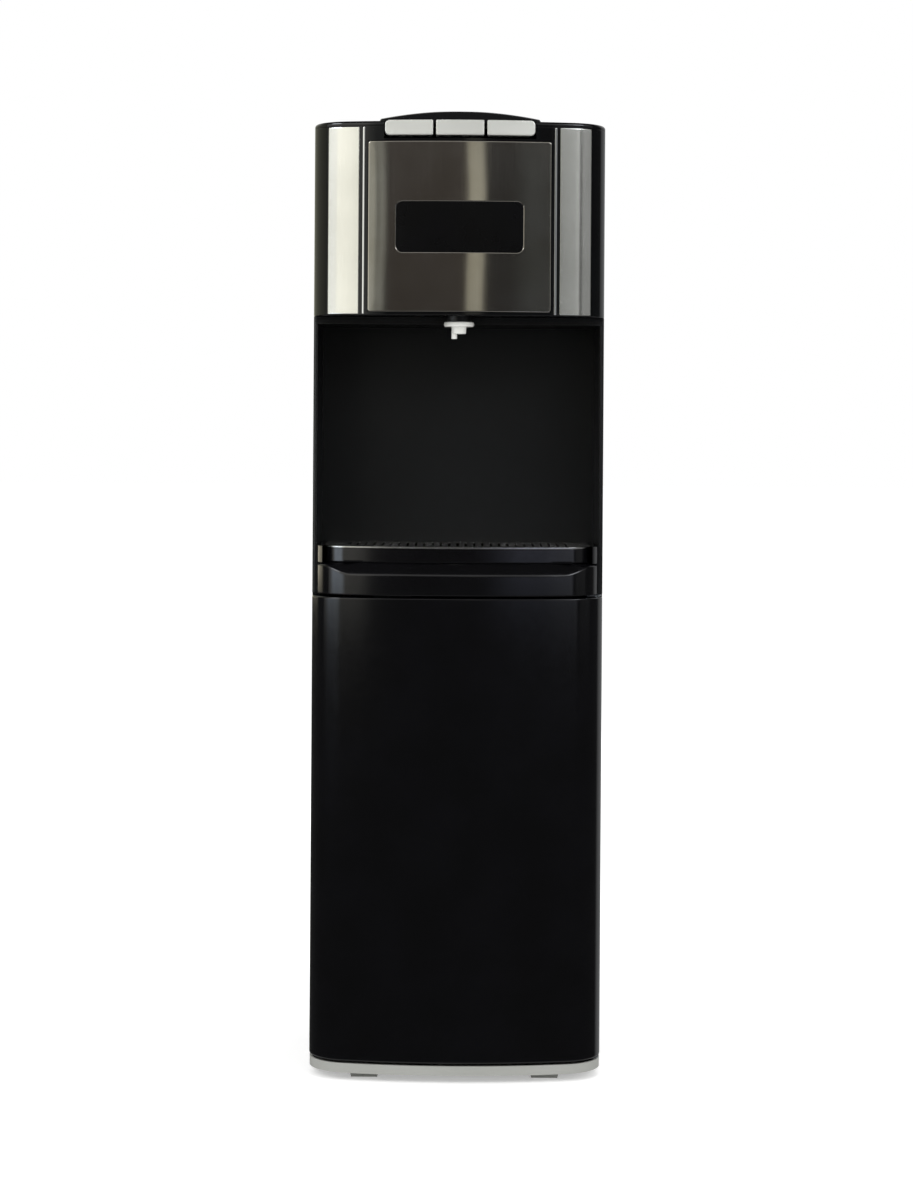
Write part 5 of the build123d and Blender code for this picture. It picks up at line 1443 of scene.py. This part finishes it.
@dataclass(frozen=True)
class Condenser:
    """Wire-on-tube condenser: one serpentine pipe between two rows of wires."""

    tube: float = 2.4
    wire: float = 0.8
    half: float = 120.0
    pitch: float = 50.0
    passes: int = 9
    low: float = 88.0
    bend_points: int = 17
    wires: int = 17
    wire_sides: int = 10
    wire_core: float = 0.1
    wire_round: float = 0.3
    overhang: float = 10.0

    def bend(self, side: float, z: float, turn: Array) -> Array:
        """Arc at one side that leaves the pass at height z: X and Z of a circle of half the pitch.

        Args:
            side: 1 at +X, -1 at -X.
            z: Height of the pass.
            turn: Angles from the lowest point, less a quarter.

        Returns:
            Rows of X and Z.
        """
        radius = self.pitch / 2
        return np.stack([side * (self.half - radius + radius * np.cos(turn)),
                         z + radius + radius * np.sin(turn)], -1)

    def path(self) -> Array:
        """X and Z of the pipe: straight passes joined by half circles, then up at one side.

        Returns:
            Rows of X and Z.
        """
        run, side = self.half - self.pitch / 2, 1.0
        parts = []
        turn = np.linspace(-math.pi / 2, math.pi / 2, self.bend_points)
        for row in range(self.passes):
            z = self.low + row * self.pitch
            bend_end = self.bend_points // 2 + 1 if row == self.passes - 1 else self.bend_points
            parts += [np.array([[-side * run, z]]), self.bend(side, z, turn[:bend_end])]
            side = -side
        parts.append(np.array([[-side * self.half, span("condenser_coil")[1][2]]]))
        whole = np.vstack(parts)
        return whole[np.concatenate([[True], np.linalg.norm(np.diff(whole, axis=0), axis=1) > NEAR])]

    def build(self) -> None:
        """Makes the condenser."""
        low, high = span("condenser_coil")
        middle_y = (low[1] + high[1]) / 2
        pipe = flat_tube(self.path(), middle_y, self.tube)
        run = self.half - self.pitch / 2
        foot = self.low - self.overhang
        top = self.low + (self.passes - 1) * self.pitch + self.overhang
        wire = turned(softened([(self.wire, foot, self.wire_round), (self.wire, top, self.wire_round),
                                (self.wire_core, top, 0), (self.wire_core, foot, 0)], 2),
                      (0, 0), self.wire_sides)
        wires = [wire.moved(x, middle_y + face * (self.tube + self.wire), 0)
                 for x in np.linspace(-run, run, self.wires) for face in (-1, 1)]
        add_piece("condenser_grid", joined([pipe] + wires), ENAMEL, "cabinet", ("condenser_coil",),
                  sharp=50)


class Carried:
    """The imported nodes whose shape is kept: each gets its material."""

    finishes: dict[Finish, tuple[str, ...]] = {
        GREY_PP: ("base_plinth",),
        RUBBER: ("levelling_feet", "compressor_grommets"),
        POWDER: ("side_panel_left", "side_panel_right", "rear_panel_lower", "rear_panel_upper"),
        ZINC: ("rear_screws", "hinge_brackets", "strike_plate", "compressor_shelf", "tank_shelf"),
        ENAMEL: ("condenser_brackets", "compressor"),
        FORMED_HIPS: ("bay_liner", "door_liner"),
        BLACK_NYLON: ("probe_hanger", "magnet_catch", "button_carrier", "cord_gland", "microswitches",
                      "switch_frames", "solenoid_valves", "water_pump", "drain_cap"),
        NYLON: ("hose_union", "drain_spout", "valve_manifold"),
        ACETAL: ("probe",),
        SATIN_ABS: ("niche_liner",),
        BOARD: ("control_board",),
        SPRING_WIRE: ("hot_spring", "room_spring", "cold_spring"),
        COPPER: ("refrigerant_lines", "evaporator_coil", "filter_drier"),
        BRUSHED_STEEL: ("cold_tank", "hot_tank"),
        FOAM: ("cold_tank_jacket",),
        SILICONE: ("water_lines",),
        RED_PC: ("hot_rocker",),
        BLUE_PC: ("cold_rocker",),
    }

    def build(self) -> None:
        """Dresses the nodes."""
        for finish, nodes in self.finishes.items():
            for node in nodes:
                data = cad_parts[node].data
                data.materials.clear()
                data.materials.append(finish.build())
                log.info("%s: kept, in %s", node, finish.name)


# ---------------------------------------------------------------- studio
@dataclass(frozen=True)
class Card:
    """A soft edged reflector on the surround, by azimuth in degrees and height in metres."""

    azimuth: tuple[float, float]
    height: tuple[float, float]
    colour: str
    level: float
    soft: float = 3.0
    soft_height: float = 0.3
    sway: float = 0.0


@dataclass(frozen=True)
class Studio:
    """Camera, floor, background, lamps and the dark surround that only gloss sees."""

    camera_place: tuple[float, float, float] = (0.0, -2.98, 0.690)
    roll: float = 0.37
    sensor: float = 36.0
    view_height: float = 1.2656
    view_distance: float = 2.8
    image_height: float = 1200.0
    shift_pixels: tuple[float, float] = (-1.8, -170.0)
    surround_radius: float = 2.4
    surround_height: tuple[float, float] = (-1.6, 3.0)
    dome_rise: float = 1.4
    columns: int = 1441
    wall_rows: int = 231
    dome_rows: int = 14
    sway_length: float = 0.34
    dark: float = 0.045
    floor_reach: float = 30.0
    floor_glow: float = 0.36
    diffuse_level: float = 0.8
    aim_height: float = 0.5

    def cards(self) -> tuple[Card, ...]:
        """Reflectors that light the gloss and the metals as the photograph shows them.

        The bowed front sees azimuths of -84 to 84 degrees. Its head sees the heights from 0.9 to
        1.3 m, its tray band about 0.42 m, and its door what lies below.

        Returns:
            The cards.
        """
        tall = (0.36, 2.4)
        head = (0.82, 1.34)
        return (
            # two tall soft boxes at the left, with a narrow gap between them
            Card((-84, -55.2), tall, "#fdfdf8", 1.0, soft=2, soft_height=0.12),
            Card((-54.8, -21.4), tall, "#fffdf2", 1.1, soft=2, soft_height=0.12),
            # low strip lights for the tray band, and a dim wall behind them
            Card((-74, -40), (0.41, 0.55), "#dcecff", 4.6, soft=12, soft_height=0.06),
            Card((-176, -112), (0.39, 0.55), "#fff6dc", 1.6, soft=10, soft_height=0.06),
            Card((-178, -86), (0.7, 2.4), "#dcdcc0", 0.45, soft=6),
            # narrow strips beside the soft boxes, which draw the panel's fine lines
            Card((-21.0, -19.5), head, "#d5d8cf", 0.8, soft=0.8, sway=0.2),
            Card((-19.0, -17.4), head, "#c9cdc6", 0.56, soft=1.0, sway=0.4),
            Card((-17, 3), head, "#ffe6d2", 0.035, soft=4),
            # narrow strip opposite, and a dim wall beside it
            Card((1.9, 5.8), head, "#f0eedc", 0.62, soft=0.5, sway=0.5),
            Card((14, 21), head, "#cfe0e0", 0.05, soft=6),
            # dimmer soft boxes at the right, with a low strip light
            Card((22, 44), tall, "#f4f7f6", 0.27, soft=2, soft_height=0.12),
            Card((36, 44), tall, "#f6f8f8", 0.13, soft=5, soft_height=0.12),
            Card((52, 82), tall, "#eef0f2", 0.23, soft=4, soft_height=0.12),
            Card((10, 44), (0.41, 0.55), "#dde4ff", 1.0, soft=10, soft_height=0.06),
            Card((120, 178), (-1.2, 2.4), "#e2e4e6", 0.4, soft=10),
            # lamps over the camera's shoulders, which the rounded rims catch
            Card((-70, -44), (1.7, 2.6), "#f2f6ff", 10.0, soft=8, soft_height=0.4),
            Card((28, 56), (1.7, 2.6), "#f2f6ff", 7.0, soft=8, soft_height=0.4),
            # soft box above the camera
            Card((-75, 75), (1.5, 3.2), "#ffffff", 0.8, soft=30, soft_height=0.5),
            # two more high up behind the object
            Card((112, 178), (1.5, 2.9), "#ffffff", 0.32, soft=16, soft_height=0.5),
            Card((-178, -112), (1.5, 2.9), "#ffffff", 0.32, soft=16, soft_height=0.5),
            # the floor's own paleness
            Card((-200, 200), (-1.9, -0.95), "#ffffff", 0.5, soft_height=0.5),
        )

    def surround(self) -> None:
        """A closed drum round the object, dark but for its soft cards, which only gloss sees.

        The light at azimuth a and height h is the dark level plus, for each card, its level times
        a smooth window over a and one over h. A window is a smoothstep up times a smoothstep down,
        and a card that sways shifts a by a sine of h.
        """

        def window(value: Array, low: float, high: float, soft: float) -> Array:
            """Smooth window from 0 to 1 and back.

            Args:
                value: Where to read it.
                low: Middle of its rise.
                high: Middle of its fall.
                soft: Length of each.

            Returns:
                The window's value.
            """
            rise = np.clip((value - low + soft / 2) / soft, 0, 1)
            fall = np.clip((high + soft / 2 - value) / soft, 0, 1)
            return rise**2 * (3 - 2 * rise) * fall**2 * (3 - 2 * fall)

        azimuth = np.linspace(-180, 180, self.columns)
        rise = np.linspace(0, math.pi / 2, self.dome_rows)[1:]
        wall = np.linspace(*self.surround_height, self.wall_rows)
        height = np.concatenate([wall[:1], wall, wall[-1] + self.dome_rise * np.sin(rise)])
        reach = np.concatenate([[0.0], np.ones(len(wall)), np.cos(rise)]) * self.surround_radius
        a, h = np.meshgrid(azimuth, height, indexing="ij")
        glow = np.full(a.shape + (4,), self.dark)
        for card in self.cards():
            colour = np.array(linear(card.colour))
            swayed = a - card.sway * np.sin(2 * math.pi * h / self.sway_length)
            shape = window(swayed, *card.azimuth, card.soft) * window(h, *card.height, card.soft_height)
            glow += card.level * shape[..., None] * colour
        turn = np.radians(a)
        points = np.stack([reach * np.sin(turn), -reach * np.cos(turn), h], -1)
        index = np.arange(a.size).reshape(a.shape)
        mesh = bpy.data.meshes.new("surround")
        mesh.from_pydata(points.reshape(-1, 3).tolist(), [], net(index, False, False).tolist())
        layer = mesh.color_attributes.new("glow", "FLOAT_COLOR", "POINT")
        layer.data.foreach_set("color", glow.reshape(-1).astype(np.float32))
        material = bpy.data.materials.new("surround_glow")
        tree = emptied(material)
        shade = add_node(tree, "ShaderNodeAttribute", attribute_name="glow")
        light = add_node(tree, "ShaderNodeEmission", {"Color": shade.outputs["Color"], "Strength": 1.0})
        add_node(tree, "ShaderNodeOutputMaterial", {"Surface": light.outputs[0]})
        material.cycles.emission_sampling = "NONE"
        mesh.materials.append(material)
        drum = placed("surround", mesh)
        for ray in ("camera", "diffuse", "shadow", "transmission", "volume_scatter"):
            setattr(drum, f"visible_{ray}", False)

    def floor(self) -> None:
        """Pale matt floor whose own camera-side glow lifts it to white but keeps the shadow."""
        mesh = bpy.data.meshes.new("floor")
        corners = np.array([(-1, -1, 0), (1, -1, 0), (1, 1, 0), (-1, 1, 0)]) * self.floor_reach
        mesh.from_pydata(corners.tolist(), [], [(0, 1, 2, 3)])
        material = bpy.data.materials.new("pale_floor")
        tree = emptied(material)
        path = add_node(tree, "ShaderNodeLightPath")
        place = add_node(tree, "ShaderNodeTexCoord").outputs["Object"]
        mottle = add_node(tree, "ShaderNodeTexNoise", {"Vector": place, "Scale": 3.0})
        tint = add_node(tree, "ShaderNodeMix", {0: mottle.outputs[0]}, data_type="RGBA")
        tint.inputs[6].default_value = linear("#ececec")
        tint.inputs[7].default_value = linear("#f0f0f0")
        matt = add_node(tree, "ShaderNodeBsdfDiffuse", {"Color": tint.outputs[2]})
        strength = add_node(tree, "ShaderNodeMath", {0: path.outputs["Is Camera Ray"], 1: self.floor_glow},
                            operation="MULTIPLY")
        glow = add_node(tree, "ShaderNodeEmission", {"Strength": strength.outputs[0]})
        both = add_node(tree, "ShaderNodeAddShader", {0: matt.outputs[0], 1: glow.outputs[0]})
        add_node(tree, "ShaderNodeOutputMaterial", {"Surface": both.outputs[0]})
        mesh.materials.append(material)
        ground = placed("floor", mesh)
        ground.visible_glossy = False

    def world(self) -> None:
        """White to the camera, to gloss and through glass, and a plain level for diffuse light."""
        world = bpy.data.worlds.new("studio")
        tree = emptied(world)
        path = add_node(tree, "ShaderNodeLightPath")
        seen = path.outputs["Is Camera Ray"]
        for ray in ("Is Glossy Ray", "Is Transmission Ray"):
            most = add_node(tree, "ShaderNodeMath", {0: seen, 1: path.outputs[ray]}, operation="MAXIMUM")
            seen = most.outputs[0]
        level = add_node(tree, "ShaderNodeMapRange",
                         {"Value": seen, "To Min": self.diffuse_level, "To Max": 1.0})
        sky = add_node(tree, "ShaderNodeBackground", {"Color": (1, 1, 1, 1), "Strength": level.outputs[0]})
        add_node(tree, "ShaderNodeOutputWorld", {"Surface": sky.outputs[0]})
        bpy.context.scene.world = world

    def lamp(self, name: str, place: tuple[float, float, float], size: float, watts: float) -> None:
        """A soft square lamp that faces the middle of the object.

        Args:
            name: Its name.
            place: Where it stands, in metres.
            size: Its side in metres.
            watts: Its power.
        """
        light = bpy.data.lights.new(name, "AREA")
        light.shape = "SQUARE"
        light.size = size
        light.energy = watts
        lamp = placed(name, light)
        aim = Vector((0, 0, self.aim_height)) - Vector(place)
        lamp.matrix_world = Matrix.Translation(place) @ aim.to_track_quat("-Z", "Y").to_matrix().to_4x4()
        lamp.visible_glossy = False

    def camera(self) -> None:
        """Camera at the photograph's place, level, with a rise shift."""
        data = bpy.data.cameras.new("camera")
        camera = placed("camera", data)
        level = Matrix.Rotation(math.pi / 2, 4, "X") @ Matrix.Rotation(math.radians(self.roll), 4, "Z")
        camera.matrix_world = Matrix.Translation(self.camera_place) @ level
        data.sensor_fit = "VERTICAL"
        data.sensor_height = self.sensor
        data.lens = self.sensor / self.view_height * self.view_distance
        data.shift_x, data.shift_y = (pixels / self.image_height for pixels in self.shift_pixels)
        bpy.context.scene.camera = camera

    def build(self) -> None:
        """Sets up the studio."""
        self.camera()
        self.world()
        self.floor()
        self.surround()
        self.lamp("key", (-2.2, -2.6, 2.6), size=1.8, watts=50)
        self.lamp("fill", (2.4, -2.2, 1.8), size=1.8, watts=30)
        self.lamp("back", (0.6, 2.6, 2.4), size=2.0, watts=40)
        bpy.context.scene.view_settings.view_transform = "Standard"


def main() -> None:
    """Builds every assembly in order."""
    for assembly in (Carried, Door, Head, Buttons, Cover, TrayBand, Spout, Condenser, Studio):
        assembly().build()
        log.info("%s done", assembly.__name__)


if __name__ == "__main__":
    main()
